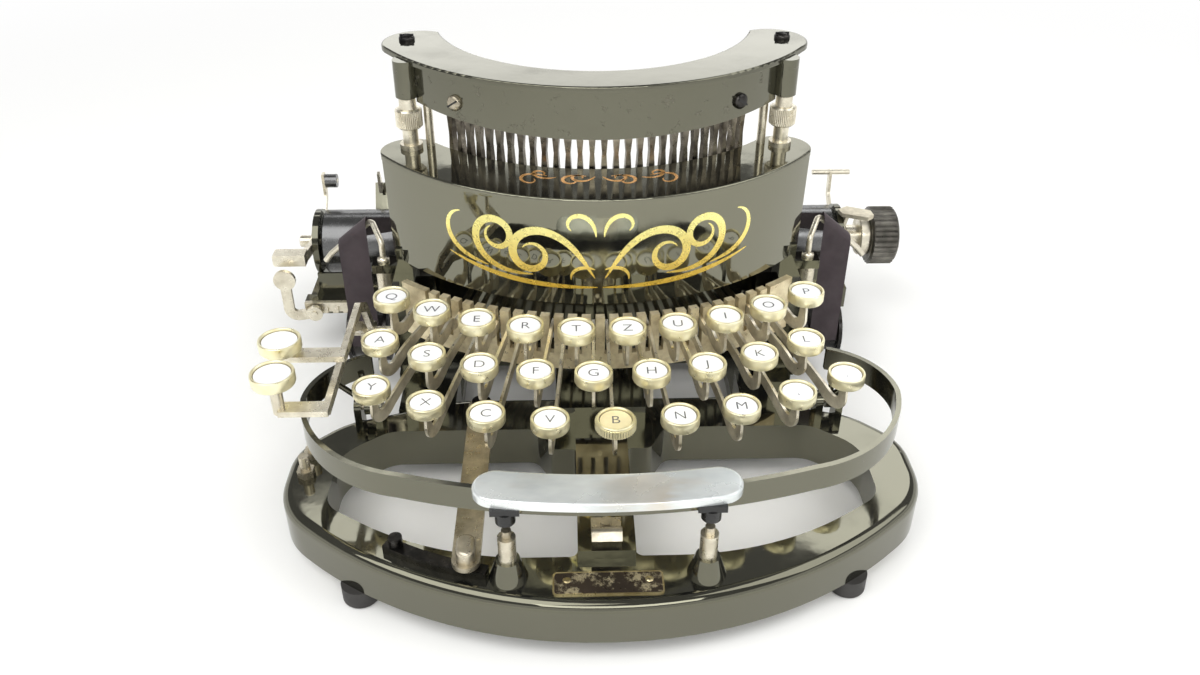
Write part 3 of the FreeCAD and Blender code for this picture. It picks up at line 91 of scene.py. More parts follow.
def look_camera():
    """The camera, a little left of the middle and looking down on the keys."""
    lens = bpy.data.cameras.new("camera")
    lens.lens = LENS_LENGTH
    lens.sensor_width = SENSOR_WIDTH
    lens.clip_start = 0.01
    camera = new_object("camera", lens)
    pitch, yaw = math.radians(CAMERA_PITCH), math.radians(CAMERA_YAW)
    level = math.cos(pitch)
    forward = Vector((math.sin(yaw) * level, math.cos(yaw) * level, -math.sin(pitch)))
    camera.location = Vector(CAMERA_PLACE) * MM
    upright = forward.to_track_quat("-Z", "Y")
    lean = Quaternion((0, 0, 1), math.radians(CAMERA_LEAN))
    camera.rotation_euler = (upright @ lean).to_euler()
    bpy.context.scene.camera = camera


def soft_lamp(name, place, size, power, aim=(0, 0, 0.06)):
    """A rectangular lamp that points at a place near the object's middle."""
    lamp = bpy.data.lights.new(name, "AREA")
    lamp.energy = power
    lamp.shape = "RECTANGLE"
    lamp.size, lamp.size_y = size
    obj = new_object(name, lamp)
    obj.location = place
    obj.rotation_euler = (Vector(aim) - Vector(place)).to_track_quat("-Z", "Y").to_euler()


def seen_directly(tree):
    """One for rays from the eye, and for those that a shiny or clear surface sends on."""
    path = new_node(tree, "ShaderNodeLightPath")
    seen_by = path.outputs["Is Camera Ray"]
    for ray in ("Is Glossy Ray", "Is Transmission Ray"):
        either = new_node(tree, "ShaderNodeMath", {0: seen_by, 1: path.outputs[ray]},
                          operation="MAXIMUM")
        seen_by = either.outputs[0]
    return seen_by


UNSEEN_STRENGTH = 0.55       # of the world as it lights dull surfaces
LOW_STRENGTH = 1.0           # of the world as it is seen, near the horizon
OVERHEAD_STRENGTH = 0.22     # and overhead
OVERHEAD_RISE = (0.29, 0.38)    # a ray's rise between which it dims


def studio_world():
    """A world that is seen as white, dimmer overhead, but lights the object plainly."""
    world = bpy.data.worlds.new("studio")
    bpy.context.scene.world = world
    world.use_nodes = True
    tree = world.node_tree
    tree.nodes.clear()
    direction = new_node(tree, "ShaderNodeTexCoord")
    split = new_node(tree, "ShaderNodeSeparateXYZ", {0: direction.outputs["Generated"]})
    overhead = new_node(tree, "ShaderNodeMapRange", {
        "Value": split.outputs["Z"], "From Min": OVERHEAD_RISE[0], "From Max": OVERHEAD_RISE[1],
        "To Min": LOW_STRENGTH, "To Max": OVERHEAD_STRENGTH}, interpolation_type="SMOOTHSTEP")
    unseen, seen = [
        new_node(tree, "ShaderNodeBackground", {"Color": (1, 1, 1, 1), "Strength": strength})
        for strength in (UNSEEN_STRENGTH, overhead.outputs["Result"])]
    mix = new_node(tree, "ShaderNodeMixShader", {
        "Fac": seen_directly(tree), 1: unseen.outputs[0], 2: seen.outputs[0]})
    new_node(tree, "ShaderNodeOutputWorld", {"Surface": mix.outputs[0]})


FLOOR_REACH = 3.0            # metres from the middle
FLOOR_FADE = (0.30, 0.95)    # metres from the middle between which it turns white


def studio_floor():
    """A pale floor that keeps the object's shadow and fades to white further out."""
    mesh = bpy.data.meshes.new("floor")
    corners = ((-1, -1), (1, -1), (1, 1), (-1, 1))
    places = [(x * FLOOR_REACH, y * FLOOR_REACH, 0) for x, y in corners]
    mesh.from_pydata(places, [], [(0, 1, 2, 3)])
    floor = new_object("floor", mesh)
    material = bpy.data.materials.new("pale_floor")
    material.use_nodes = True
    tree = material.node_tree
    body = tree.nodes["Principled BSDF"]
    set_inputs(tree, body, {
        "Base Color": (0.93, 0.93, 0.91, 1), "Roughness": 0.7, "Specular IOR Level": 0.2})
    coords = new_node(tree, "ShaderNodeTexCoord")
    away = new_node(tree, "ShaderNodeVectorMath", {0: coords.outputs["Object"]}, operation="LENGTH")
    fade = new_node(tree, "ShaderNodeMapRange", {
        "Value": away.outputs["Value"], "From Min": FLOOR_FADE[0], "From Max": FLOOR_FADE[1]},
        interpolation_type="SMOOTHSTEP")
    share = new_node(tree, "ShaderNodeMath", {0: fade.outputs["Result"], 1: seen_directly(tree)},
                     operation="MULTIPLY")
    white = new_node(tree, "ShaderNodeEmission")
    mix = new_node(tree, "ShaderNodeMixShader", {
        "Fac": share.outputs[0], 1: body.outputs[0], 2: white.outputs[0]})
    set_inputs(tree, tree.nodes["Material Output"], {"Surface": mix.outputs[0]})
    mesh.materials.append(material)


def studio_lamps():
    """Soft lamps: two high, one at the front, two small ones and a wide low one behind."""
    soft_lamp("key_lamp", (-0.5, -0.5, 1.1), (1.1, 0.8), 8.0)
    soft_lamp("fill_lamp", (0.8, -0.2, 0.9), (0.9, 0.9), 5.0)
    soft_lamp("front_lamp", (0.1, -1.15, 0.8), (0.9, 0.4), 5.0)
    soft_lamp("left_window", (-0.33, 0.85, 0.94), (0.20, 0.14), 0.22)
    soft_lamp("right_window", (0.46, 0.85, 0.85), (0.40, 0.26), 0.9)
    soft_lamp("back_lamp", (0.0, 1.35, 0.60), (1.8, 0.24), 2.2, aim=(0, 0, 0.16))


look_camera()
studio_world()
studio_floor()
studio_lamps()
bpy.context.scene.view_settings.view_transform = "Standard"


# ---------------------------------------- materials
def shade(color, share):
    """A colour made darker or lighter."""
    return tuple(min(1, c * share) for c in color)


class Finish:
    """A procedural material around one Principled shader, on Object coordinates."""

    def __init__(self, name, color, metallic=0.0, roughness=0.4):
        self.material = bpy.data.materials.new(name)
        self.material.use_nodes = True
        self.tree = self.material.node_tree
        self.shader = self.tree.nodes["Principled BSDF"]
        self.feed("Base Color", (*color, 1))
        self.feed("Metallic", metallic)
        self.feed("Roughness", roughness)
        self.place = self.node("ShaderNodeTexCoord").outputs["Object"]
        self.bump = None

    def node(self, kind, inputs=None, **settings):
        return new_node(self.tree, kind, inputs, **settings)

    def feed(self, socket, value):
        """Gives one of the shader's inputs a value or a link."""
        set_inputs(self.tree, self.shader, {socket: value})

    def height(self):
        """Height of a point, in metres."""
        return self.node("ShaderNodeSeparateXYZ", {0: self.place}).outputs["Z"]

    def noise(self, scale, detail=3.0, roughness=0.5, stretch=None):
        place = self.place
        if stretch:
            mapping = self.node("ShaderNodeMapping", {"Vector": place, "Scale": stretch})
            place = mapping.outputs["Vector"]
        return self.node("ShaderNodeTexNoise", {
            "Vector": place, "Scale": scale, "Detail": detail,
            "Roughness": roughness}).outputs["Fac"]

    def ramp(self, value, low, high, start=0.0, end=1.0):
        return self.node("ShaderNodeMapRange", {
            "Value": value, "From Min": low, "From Max": high,
            "To Min": start, "To Max": end}).outputs["Result"]

    def both(self, a, b, operation="MULTIPLY"):
        return self.node("ShaderNodeMath", {0: a, 1: b}, operation=operation).outputs[0]

    def colors(self, factor, first, second):
        """A mix of two colours, each a plain one or a link."""
        first, second = [
            (*value, 1) if isinstance(value, tuple) else value for value in (first, second)]
        return self.node("ShaderNodeMix", {"Factor": factor, "A": first, "B": second},
                         data_type="RGBA").outputs["Result"]

    def relief(self, height, strength, distance):
        """Adds a bump to those that are already there."""
        inputs = {"Strength": strength, "Distance": distance, "Height": height}
        if self.bump:
            inputs["Normal"] = self.bump
        self.bump = self.node("ShaderNodeBump", inputs).outputs["Normal"]
        self.feed("Normal", self.bump)


JAPAN_BLACK = (0.009, 0.009, 0.008)
JAPAN_GLEAM_TINT = (1.0, 0.975, 0.73, 1)
CHIP_EDGE = 0.015            # how sharply a chip begins, in steps of the noise
PRIMER_CHIPS = ((0.09, 0.075, 0.06), (0.33, 0.31, 0.27))
DARK_CHIPS = ((0.012, 0.011, 0.010), (0.05, 0.045, 0.038))


def japan(name, chips=0.72, gloss=0.07, gleam=2.3, peel=0.10, bare=PRIMER_CHIPS, clean_above=None):
    """Gloss black japan, a smoky warm mirror with small chips down to the metal or its primer."""
    f = Finish(name, JAPAN_BLACK, 0.0, gloss)
    f.feed("IOR", gleam)
    f.feed("Specular Tint", JAPAN_GLEAM_TINT)
    flakes = f.ramp(f.noise(150, 7, 0.68), chips, chips + CHIP_EDGE)
    if clean_above:
        below = f.ramp(f.height(), (clean_above - 1) * MM, clean_above * MM, 1.0, 0.0)
        flakes = f.both(flakes, below)
    worn = f.colors(f.noise(600, 2), *bare)
    clouds = f.ramp(f.noise(30, 4), 0.35, 0.7)
    tone = f.colors(clouds, shade(JAPAN_BLACK, 0.6), shade(JAPAN_BLACK, 1.5))
    f.feed("Base Color", f.colors(flakes, tone, worn))
    dull = f.ramp(f.noise(45, 6, 0.6), 0.45, 0.8, gloss, gloss + 0.16)
    f.feed("Roughness", f.both(dull, f.ramp(flakes, 0, 1, 0.0, 0.4), "MAXIMUM"))
    f.relief(f.noise(70, 3), peel, 0.0004)
    f.relief(flakes, 0.4, -0.00012)
    return f.material


def plated(name, low, high, roughness, streak=(1, 1, 1), spots=0.0, metal=1.0):
    """Old nickel plate: bright, warm in places, with a fine dull bloom and dark pits."""
    f = Finish(name, high, metal, roughness)
    color = f.colors(f.ramp(f.noise(120, 6, 0.6, streak), 0.38, 0.68), low, high)
    if spots:
        pits = f.ramp(f.noise(420, 5, 0.7), 0.62, 0.66)
        where = f.ramp(f.noise(60, 3), 0.4, 0.7, 0, spots)
        color = f.colors(f.both(pits, where), color, shade(low, 0.35))
    f.feed("Base Color", color)
    dull = f.ramp(f.noise(300, 5, 0.6, streak), 0.3, 0.75, roughness * 0.7, roughness * 1.6)
    f.feed("Roughness", dull)
    f.relief(f.noise(900, 3, 0.6, streak), 0.08, 0.0001)
    return f.material


def plain(name, color, roughness, vary=0.25, bump=0.1, extra=None):
    """A quiet finish whose colour and gloss wander a little, with extra values of its shader."""
    f = Finish(name, color, 0.0, roughness)
    set_inputs(f.tree, f.shader, extra or {})
    clouds = f.ramp(f.noise(160, 5), 0.3, 0.7)
    f.feed("Base Color", f.colors(clouds, shade(color, 1 - vary), shade(color, 1 + vary)))
    dull = f.ramp(f.noise(320, 4), 0.3, 0.7, roughness * 0.8, min(1, roughness * 1.2))
    f.feed("Roughness", dull)
    f.relief(f.noise(800, 3), bump, 0.0001)
    return f.material


def clouded_plate(name):
    """Bright nickel whose shine is broken by long pale and brown clouds."""
    f = Finish(name, (0.8, 0.8, 0.8), 0.55, 0.12)
    clouds = f.ramp(f.noise(38, 4, 0.55, (0.7, 1.3, 1)), 0.35, 0.7)
    smears = f.ramp(f.noise(75, 3, 0.5, (0.5, 1.2, 1)), 0.52, 0.62)
    smears = f.both(smears, f.ramp(f.noise(22, 2), 0.4, 0.6, 0, 0.55))
    pale = f.colors(clouds, (0.60, 0.64, 0.64), (0.97, 0.99, 0.97))
    f.feed("Base Color", f.colors(smears, pale, (0.66, 0.56, 0.42)))
    f.feed("Roughness", f.ramp(f.noise(60, 5), 0.3, 0.7, 0.14, 0.34))
    f.relief(f.noise(20, 2), 0.15, 0.0006)
    return f.material


def gilt(name, low_color, high_color, low_z, high_z, roughness=0.24):
    """Gold leaf that pales upwards, worn thin in specks."""
    f = Finish(name, high_color, 0.7, roughness)
    tone = f.colors(f.ramp(f.height(), low_z * MM, high_z * MM), low_color, high_color)
    worn = f.ramp(f.noise(700, 6, 0.7), 0.60, 0.66, 0.0, 0.6)
    f.feed("Base Color", f.colors(worn, tone, (0.16, 0.11, 0.04)))
    f.feed("Roughness", f.ramp(f.noise(400, 4), 0.3, 0.7, roughness * 0.8, roughness * 1.7))
    f.relief(f.noise(1200, 3), 0.12, 0.0001)
    return f.material


def etched(name):
    """A thin plate whose black ground has worn through to brass in small flecks."""
    f = Finish(name, (0.03, 0.025, 0.02), 0.6, 0.35)
    flecks = f.ramp(f.both(f.noise(500, 6, 0.75), f.noise(170, 3)), 0.28, 0.36)
    ground = f.colors(f.noise(90, 4), (0.020, 0.016, 0.013), (0.085, 0.062, 0.045))
    f.feed("Base Color", f.colors(flecks, ground, (0.46, 0.40, 0.26)))
    f.feed("Roughness", f.ramp(f.noise(300, 4), 0.3, 0.7, 0.22, 0.5))
    f.relief(flecks, 0.35, 0.00008)
    return f.material


THREAD_SCALE = 900.0         # of the wave that draws the ribbon's threads


def cloth(name, color, sheen):
    """Inked ribbon: a fine plain weave along and across the strip, read from its own map."""
    f = Finish(name, color, 0.0, 0.85)
    f.feed("Sheen Weight", 0.25)
    f.feed("Sheen Tint", (*sheen, 1))
    laid = f.node("ShaderNodeUVMap", uv_map="along").outputs["UV"]
    weave = f.both(*[
        f.node("ShaderNodeTexWave", {"Vector": laid, "Scale": THREAD_SCALE},
               bands_direction=direction).outputs["Fac"] for direction in ("X", "Y")])
    tone = f.colors(f.ramp(f.noise(70, 4), 0.35, 0.7), shade(color, 0.7), shade(color, 1.3))
    f.feed("Base Color", f.colors(f.ramp(weave, 0, 1, 0, 0.35), tone, shade(color, 2.0)))
    f.feed("Roughness", f.ramp(f.noise(200, 3), 0.3, 0.7, 0.75, 0.95))
    f.relief(weave, 0.5, 0.00006)
    return f.material


JAPAN = japan("black_japan", gleam=2.1)
JAPAN_SHIELD = japan("shield_japan", 0.76, 0.03, 2.55, 0.04)
JAPAN_COVER = japan("cover_japan", 0.60, 0.07, 2.2, 0.10, DARK_CHIPS, clean_above=160)
JAPAN_BASE = japan("base_japan", 0.70, 0.05, 2.2)
JAPAN_HOOP = japan("hoop_japan", 0.70, 0.08, 2.3)
NICKEL = plated("old_nickel", (0.62, 0.57, 0.45), (0.88, 0.83, 0.69), 0.28, spots=0.25, metal=0.9)
KEY_RING = plated("key_ring_nickel", (0.90, 0.82, 0.52), (1.0, 0.95, 0.68), 0.32,
                  spots=0.25, metal=0.85)
# painted shade: a dark brown ring round each key's card, and a dark band behind the knurled key's
# ribs
PAINTED_RING_SHADE = plain("ring_seat_shadow", (0.20, 0.17, 0.10), 0.6)
LEVER_STEEL = plated("lever_nickel", (0.50, 0.45, 0.34), (0.84, 0.78, 0.62), 0.38,
                     spots=0.5, metal=0.7)
LEVER_EDGE = plated("lever_edge_nickel", (0.66, 0.60, 0.47), (0.95, 0.90, 0.75), 0.3, spots=0.3)
COMB_NICKEL = plated("comb_nickel", (0.58, 0.48, 0.29), (0.92, 0.82, 0.56), 0.36,
                     spots=0.6, metal=0.7)
BROWN_NICKEL = plated("brown_nickel", (0.36, 0.32, 0.24), (0.66, 0.60, 0.47), 0.3,
                      spots=0.4, metal=0.85)
BAR_STEEL = plated("typebar_steel", (0.12, 0.105, 0.085), (0.42, 0.38, 0.31), 0.3, spots=0.5)
DARK_STEEL = plated("dark_steel", (0.02, 0.02, 0.02), (0.07, 0.065, 0.06), 0.28)
KNOB_GREY = plated("knob_grey", (0.085, 0.08, 0.07), (0.20, 0.19, 0.165), 0.36)
RUBBER = plain("platen_rubber", (0.016, 0.016, 0.015), 0.24, bump=0.015, extra={"IOR": 2.2})
FOOT_RUBBER = plain("foot_rubber", (0.035, 0.033, 0.031), 0.6, bump=0.4)
BUMPER_RUBBER = plain("bumper_rubber", (0.012, 0.012, 0.012), 0.25)
SPACE_PLATE = clouded_plate("space_bar_plate")
BRASS = plated("brass", (0.42, 0.34, 0.18), (0.80, 0.70, 0.44), 0.3)
PLATE_FACE = etched("nameplate_face")
GILT = gilt("scroll_gilt", (0.90, 0.56, 0.05), (1.0, 0.92, 0.36), 84, 112)
RED_GILT = gilt("top_gilt", (0.66, 0.27, 0.08), (0.80, 0.42, 0.13), 84, 118)
RIBBON = cloth("ribbon_cloth", (0.048, 0.036, 0.040), (0.5, 0.45, 0.45))
GLASS_COAT = {"Coat Weight": 0.8, "Coat Roughness": 0.05}
KEY_CARD = plain("key_card", (0.90, 0.91, 0.92), 0.35, 0.03, 0.02, GLASS_COAT)
INSERT = plain("yellow_insert", (0.80, 0.70, 0.40), 0.35, 0.10, 0.05, GLASS_COAT)
KEY_INK = plain("key_ink", (0.10, 0.10, 0.11), 0.5, extra=GLASS_COAT)
# painted shade: black for the shade inside a screw's slot
PAINTED_SLOT_SHADE = plain("slot_black", (0.01, 0.01, 0.01), 0.6)


# ---------------------------------------- mesh helpers
DRESSED = set()              # nodes that a finished piece stands for


def linked(name, mesh, body, slot, *replaced):
    """Makes a piece of a mesh, riding on a body and standing for the nodes it replaces."""
    obj = new_object(name, mesh)
    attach(obj, body)
    if replaced:
        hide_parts(*replaced)
        DRESSED.update(replaced)
    return obj


def finished_mesh(name, bm, materials):
    """A mesh made of a bmesh, which is freed."""
    mesh = bpy.data.meshes.new(name)
    bm.to_mesh(mesh)
    bm.free()
    for material in materials:
        mesh.materials.append(material)
    return mesh


def connected(face, among):
    """A face and those that shared edges lead to within a set, which loses them all."""
    among.remove(face)
    group, waiting = [face], [face]
    while waiting:
        for edge in waiting.pop().edges:
            for near in edge.link_faces:
                if near in among:
                    among.remove(near)
                    group.append(near)
                    waiting.append(near)
    return group


LEVEL = 0.99995              # least upward or downward share of a level face's normal


def level_faces(bm):
    """Faces of level flats with three or more faces, or one face of many sides."""
    level = {face for face in bm.faces if abs(face.normal.z) > LEVEL}
    found = []
    while level:
        group = connected(next(iter(level)), level)
        if len(group) > 2 or len(group[0].verts) > 4:
            found.extend(group)
    return found


MERGE_DISTANCE = 2e-6        # metres
SMOOTH_BELOW = 32            # degrees between faces
UP = Vector((0, 0, 1))


def rectangle(half_width, low, high):
    """Outline of a rectangle that is centred across."""
    return [(-half_width, low), (half_width, low), (half_width, high), (-half_width, high)]


def turned_to(axis):
    """A turn that lays Z along an axis."""
    return UP.rotation_difference(Vector(axis)).to_matrix()


class Shape:
    """A mesh gathered from turned, cut-out and copied forms, each with one of its materials."""

    def __init__(self, *materials):
        self.bm = bmesh.new()
        self.materials = materials

    def paint(self, faces, material):
        for face in faces:
            face.material_index = self.materials.index(material)

    def turned(self, profile, centre, material, steps=48, axis=(0, 0, 1)):
        """A turning about an axis; its profile's points are (radius, height) in millimetres."""
        turn = turned_to(axis)
        rings = []
        for radius, height in profile:
            ring = []
            for i in range(steps if radius else 1):
                a = 2 * math.pi * i / steps
                spot = Vector((radius * math.cos(a), radius * math.sin(a), height)) * MM
                ring.append(self.bm.verts.new(centre + turn @ spot))
            rings.append(ring)
        faces = []
        for low, high in zip(rings, rings[1:]):
            for i in range(steps):
                j = (i + 1) % steps
                corners = list(dict.fromkeys([
                    low[i % len(low)], low[j % len(low)],
                    high[j % len(high)], high[i % len(high)]]))
                if len(corners) > 2:
                    faces.append(self.bm.faces.new(corners))
        self.paint(faces, material)

    def slab(self, outline, low, high, material, move=Matrix.Identity(4)):
        """A plate between two levels along Z, then moved; its outline runs anticlockwise."""
        bottom, top = [[self.bm.verts.new(move @ (Vector((x, y, z)) * MM)) for x, y in outline]
                       for z in (low, high)]
        faces = [self.bm.faces.new(top), self.bm.faces.new(list(reversed(bottom)))]
        count = len(outline)
        for i in range(count):
            j = (i + 1) % count
            faces.append(self.bm.faces.new((bottom[i], bottom[j], top[j], top[i])))
        self.paint(faces, material)

    def copied(self, mesh, material, move=None):
        """Adds another mesh, with one material."""
        before = set(self.bm.faces)
        self.bm.from_mesh(mesh)
        fresh = [face for face in self.bm.faces if face not in before]
        if move:
            corners = {vert for face in fresh for vert in face.verts}
            bmesh.ops.transform(self.bm, matrix=move, verts=list(corners))
        self.paint(fresh, material)
        return fresh

    def mesh(self, name, angle=SMOOTH_BELOW, merge=MERGE_DISTANCE):
        """The finished mesh, smooth except where its faces meet at more than an angle."""
        if merge:
            bmesh.ops.remove_doubles(self.bm, verts=self.bm.verts, dist=merge)
        limit = math.radians(angle)
        self.bm.normal_update()
        for face in self.bm.faces:
            face.smooth = True
        for face in level_faces(self.bm):
            face.smooth = False
        for edge in self.bm.edges:
            edge.smooth = len(edge.link_faces) == 2 and edge.calc_face_angle(0) < limit
        return finished_mesh(name, self.bm, self.materials)


def solids_of(node):
    """A CAD node's separate solids as meshes, largest first, with their boxes in millimetres."""
    b = bmesh.new()
    b.from_mesh(nodes[node].data)
    bmesh.ops.remove_doubles(b, verts=b.verts, dist=MERGE_DISTANCE)
    left, parts = set(b.faces), []
    for face in b.faces:
        if face not in left:
            continue
        group = connected(face, left)
        verts = list(dict.fromkeys(vert for f in group for vert in f.verts))
        index = {vert: i for i, vert in enumerate(verts)}
        mesh = bpy.data.meshes.new(node + "_solid")
        corners = [[index[v] for v in f.verts] for f in group]
        mesh.from_pydata([vert.co[:] for vert in verts], [], corners)
        low, high = [Vector([end(v.co[k] for v in verts) for k in range(3)]) / MM
                     for end in (min, max)]
        parts.append((mesh, low, high))
    b.free()
    return sorted(parts, key=lambda part: -(part[2] - part[1]).length)


def placed(name, shape, node):
    """A finished shape that stands for a CAD node and rides with it."""
    linked(name, shape.mesh(name), BODY_OF[node], SLOT_OF[node], node)


# ---------------------------------------- repeated forms
def copies_tree():
    """Geometry nodes: copies of a form, each turned about Z by a further angle."""
    tree = bpy.data.node_groups.new("copies_in_a_fan", "GeometryNodeTree")
    for name, kind in (("Form", "Object"), ("Count", "Int"), ("First Angle", "Float"),
                       ("Step Angle", "Float"), ("Finish", "Material")):
        tree.interface.new_socket(name, in_out="INPUT", socket_type="NodeSocket" + kind)
    tree.interface.new_socket("Geometry", in_out="OUTPUT", socket_type="NodeSocketGeometry")
    given = new_node(tree, "NodeGroupInput").outputs
    index = new_node(tree, "GeometryNodeInputIndex").outputs[0]
    points = new_node(tree, "GeometryNodePoints", {"Count": given["Count"]})
    angle = new_node(tree, "ShaderNodeMath", {
        0: index, 1: given["Step Angle"], 2: given["First Angle"]}, operation="MULTIPLY_ADD")
    spin = new_node(tree, "ShaderNodeCombineXYZ", {"Z": angle.outputs[0]})
    form = new_node(tree, "GeometryNodeObjectInfo", {"Object": given["Form"], "As Instance": True})
    turned = new_node(tree, "GeometryNodeInstanceOnPoints", {
        "Points": points.outputs[0], "Instance": form.outputs["Geometry"],
        "Rotation": spin.outputs[0]})
    real = new_node(tree, "GeometryNodeRealizeInstances", {0: turned.outputs[0]})
    finish = new_node(tree, "GeometryNodeSetMaterial", {
        "Geometry": real.outputs[0], "Material": given["Finish"]})
    new_node(tree, "NodeGroupOutput", {0: finish.outputs[0]})
    return tree


COPIES = copies_tree()


def evaluated_mesh(obj):
    """A plain mesh of what an object shows."""
    bpy.context.view_layer.update()
    return bpy.data.meshes.new_from_object(
        obj.evaluated_get(bpy.context.evaluated_depsgraph_get()))


def copies(form, count, finish, first_angle=0.0, step_angle=0.0):
    """Runs the copying tree on a form mesh and gives one plain mesh; angles are in degrees."""
    source = new_object("form", form)
    holder = new_object("copies", bpy.data.meshes.new("copies"))
    modifier = holder.modifiers.new("copies", "NODES")
    modifier.node_group = COPIES
    given = {"Form": source, "Count": count, "First Angle": math.radians(first_angle),
             "Step Angle": math.radians(step_angle), "Finish": finish}
    for item in COPIES.interface.items_tree:
        if item.in_out == "INPUT":
            modifier[item.identifier] = given[item.name]
    mesh = evaluated_mesh(holder)
    for obj in (source, holder):
        bpy.data.objects.remove(obj)
    return mesh


RIB_FOOT_SINK = 0.1          # of a rib's foot in the cylinder it stands on


def ribbed_band(radius, height, depth, count, finish):
    """Upright ribs round a cylinder: a knurl when they are many, flutes when they are few."""
    half = math.pi * radius / count
    rib = Shape(finish)
    foot = radius - RIB_FOOT_SINK
    outline = [(foot, -half * 0.95), (radius + depth * 0.6, -half * 0.6), (radius + depth, 0),
               (radius + depth * 0.6, half * 0.6), (foot, half * 0.95)]
    rib.slab(outline, -height / 2, height / 2, finish)
    return copies(rib.mesh("rib", angle=50), count, finish, step_angle=360.0 / count)


# ---------------------------------------- keys
# lengths from here on are in millimetres
KEY_RADIUS = 7.25
SHIFT_KEY_RADIUS = 8.0
RING_HEIGHT = 4.8
RING_WALL = 1.0
CARD_GAP = 0.05              # between the ring's inside and the shadow round the card
SHADOW_WIDTH = 0.35          # of the shadow round the card
SHADOW_SINK = 0.05           # of its inner edge below the card's face
CARD_BEVEL = 0.15
CARD_DEPTH = 0.9             # the card's face below the rim
CHARACTERS = {"back": "QWERTZUIOP", "middle": "ASDFGHJKL", "front": "YXCVBNM,."}
CHARACTER_HEIGHT = 4.7
EM_SHARE = 1.35              # a font's size for a capital's height
STROKE_THINNING = 0.05
INK_LIFT = 0.03              # of a character over its card
KNURLED_KEY = "key_front_5"
KNURL_COUNT = 44             # of the knurled key and of a knurled nut


def ring_profile(radius):
    """Section of a key's ring, from the middle underneath over the rim to the card's edge."""
    inside = radius - RING_WALL
    return [
        (0, -RING_HEIGHT), (radius - 0.8, -RING_HEIGHT), (radius - 0.25, 0.25 - RING_HEIGHT),
        (radius, 0.8 - RING_HEIGHT), (radius, -0.55), (radius - 0.12, -0.16), (radius - 0.35, 0),
        (inside + 0.2, 0), (inside, -0.2), (inside - CARD_GAP, -CARD_DEPTH)]


def character(letter, centre):
    """One plain character as a flat mesh at a place."""
    curve = bpy.data.curves.new("character_" + str(ord(letter)), "FONT")
    curve.body = letter
    curve.size = CHARACTER_HEIGHT * EM_SHARE * MM
    curve.align_x = "CENTER"
    curve.align_y = "CENTER"
    curve.offset = -STROKE_THINNING * MM
    obj = new_object(curve.name, curve)
    mesh = evaluated_mesh(obj)
    bpy.data.objects.remove(obj)
    mesh.transform(Matrix.Translation(centre * MM))
    return mesh


def rim_centre(cup):
    """Middle of the upper rim of a key's cup, as solids_of gives it."""
    low, high = cup[1:]
    return Vector(((low.x + high.x) / 2, (low.y + high.y) / 2, high.z))


def key_top(shape, centre, radius, card, letter=None):
    """Ring, card and character of one key, with a dark ring painted round the card as shade; the
    centre is on the rim's plane.
    """
    inside = radius - RING_WALL - CARD_GAP
    edge = inside - SHADOW_WIDTH
    shape.turned(ring_profile(radius), centre * MM, KEY_RING)
    sunk = (edge, -CARD_DEPTH - SHADOW_SINK)
    # painted shade: a dark ring between the ring's wall and the card, where the wall shades it
    shape.turned([(inside, -CARD_DEPTH), sunk], centre * MM, PAINTED_RING_SHADE)
    shape.turned([sunk, (edge - CARD_BEVEL, -CARD_DEPTH), (0, -CARD_DEPTH)], centre * MM, card)
    if letter:
        face = centre + Vector((0, 0, INK_LIFT - CARD_DEPTH))
        shape.copied(character(letter, face), KEY_INK)


ROWS = ("back", "middle", "front")
ROW_RADIUS = (148.0, 164.3, 180.8)
ROW_HOOK = (65.0, 56.5, 47.5)
LEVER_COUNT = 28
LEVER_PITCH = 2.533          # degrees
LEVER_ROOT = (121.8, 69.0)   # where a lever's front arm begins, behind the comb
LEVER_HALF_THICKNESS = 0.6


def softened(rows):
    """Cuts the corners of a line three times, keeping its ends; any numbers may ride along."""
    for _ in range(3):
        cut = [rows[0]]
        for p, q in zip(rows, rows[1:]):
            for share in (0.25, 0.75):
                cut.append(tuple(a + (b - a) * share for a, b in zip(p, q)))
        rows = cut + [rows[-1]]
    return rows


def hooked_arm(shape, row, number, under):
    """Front arm of a key lever: a flat strip that dips, swells and hooks up under its key."""
    radius, hook = ROW_RADIUS[row], ROW_HOOK[row]
    a = math.radians((row + 3 * (number - 1) - (LEVER_COUNT - 1) / 2) * LEVER_PITCH)
    out = Vector((math.sin(a), -math.cos(a), 0))
    side = Vector((math.cos(a), math.sin(a), 0))
    root_r, root_z = LEVER_ROOT
    # distance from the fan's centre, height and width of the strip
    line = softened([
        (radius, under + 0.3, 3.0), (radius, hook + 9, 3.2), (radius - 0.2, hook + 2.6, 4.6),
        (radius - 5.5, hook + 0.6, 5.6), (radius - 13, hook + 5.2, 5.0),
        (root_r + 12, root_z - 2.4, 3.7), (root_r + 6, root_z, 3.4), (root_r, root_z, 3.4)])
    rings = []
    for i, (r, z, width) in enumerate(line):
        before, after = line[max(0, i - 1)], line[min(len(line) - 1, i + 1)]
        run = Vector((after[0] - before[0], after[1] - before[1])).normalized()
        corners = []
        for up, along in ((-1, -1), (-1, 1), (1, 1), (1, -1)):
            rr, zz = r + run.y * up * width / 2, z - run.x * up * width / 2
            spot = out * rr + side * along * LEVER_HALF_THICKNESS + Vector((0, FAN_SHIFT, zz))
            corners.append(shape.bm.verts.new(spot * MM))
        rings.append(corners)
    faces = {LEVER_EDGE: [], LEVER_STEEL: []}
    for low, high in zip(rings, rings[1:]):
        for k, finish in enumerate((LEVER_EDGE, LEVER_STEEL, LEVER_EDGE, LEVER_STEEL)):
            j = (k + 1) % 4
            faces[finish].append(shape.bm.faces.new((low[k], low[j], high[j], high[k])))
    for end in (list(reversed(rings[0])), rings[-1]):
        faces[LEVER_EDGE].append(shape.bm.faces.new(end))
    for finish, group in faces.items():
        shape.paint(group, finish)
    bmesh.ops.recalc_face_normals(shape.bm, faces=faces[LEVER_EDGE] + faces[LEVER_STEEL])


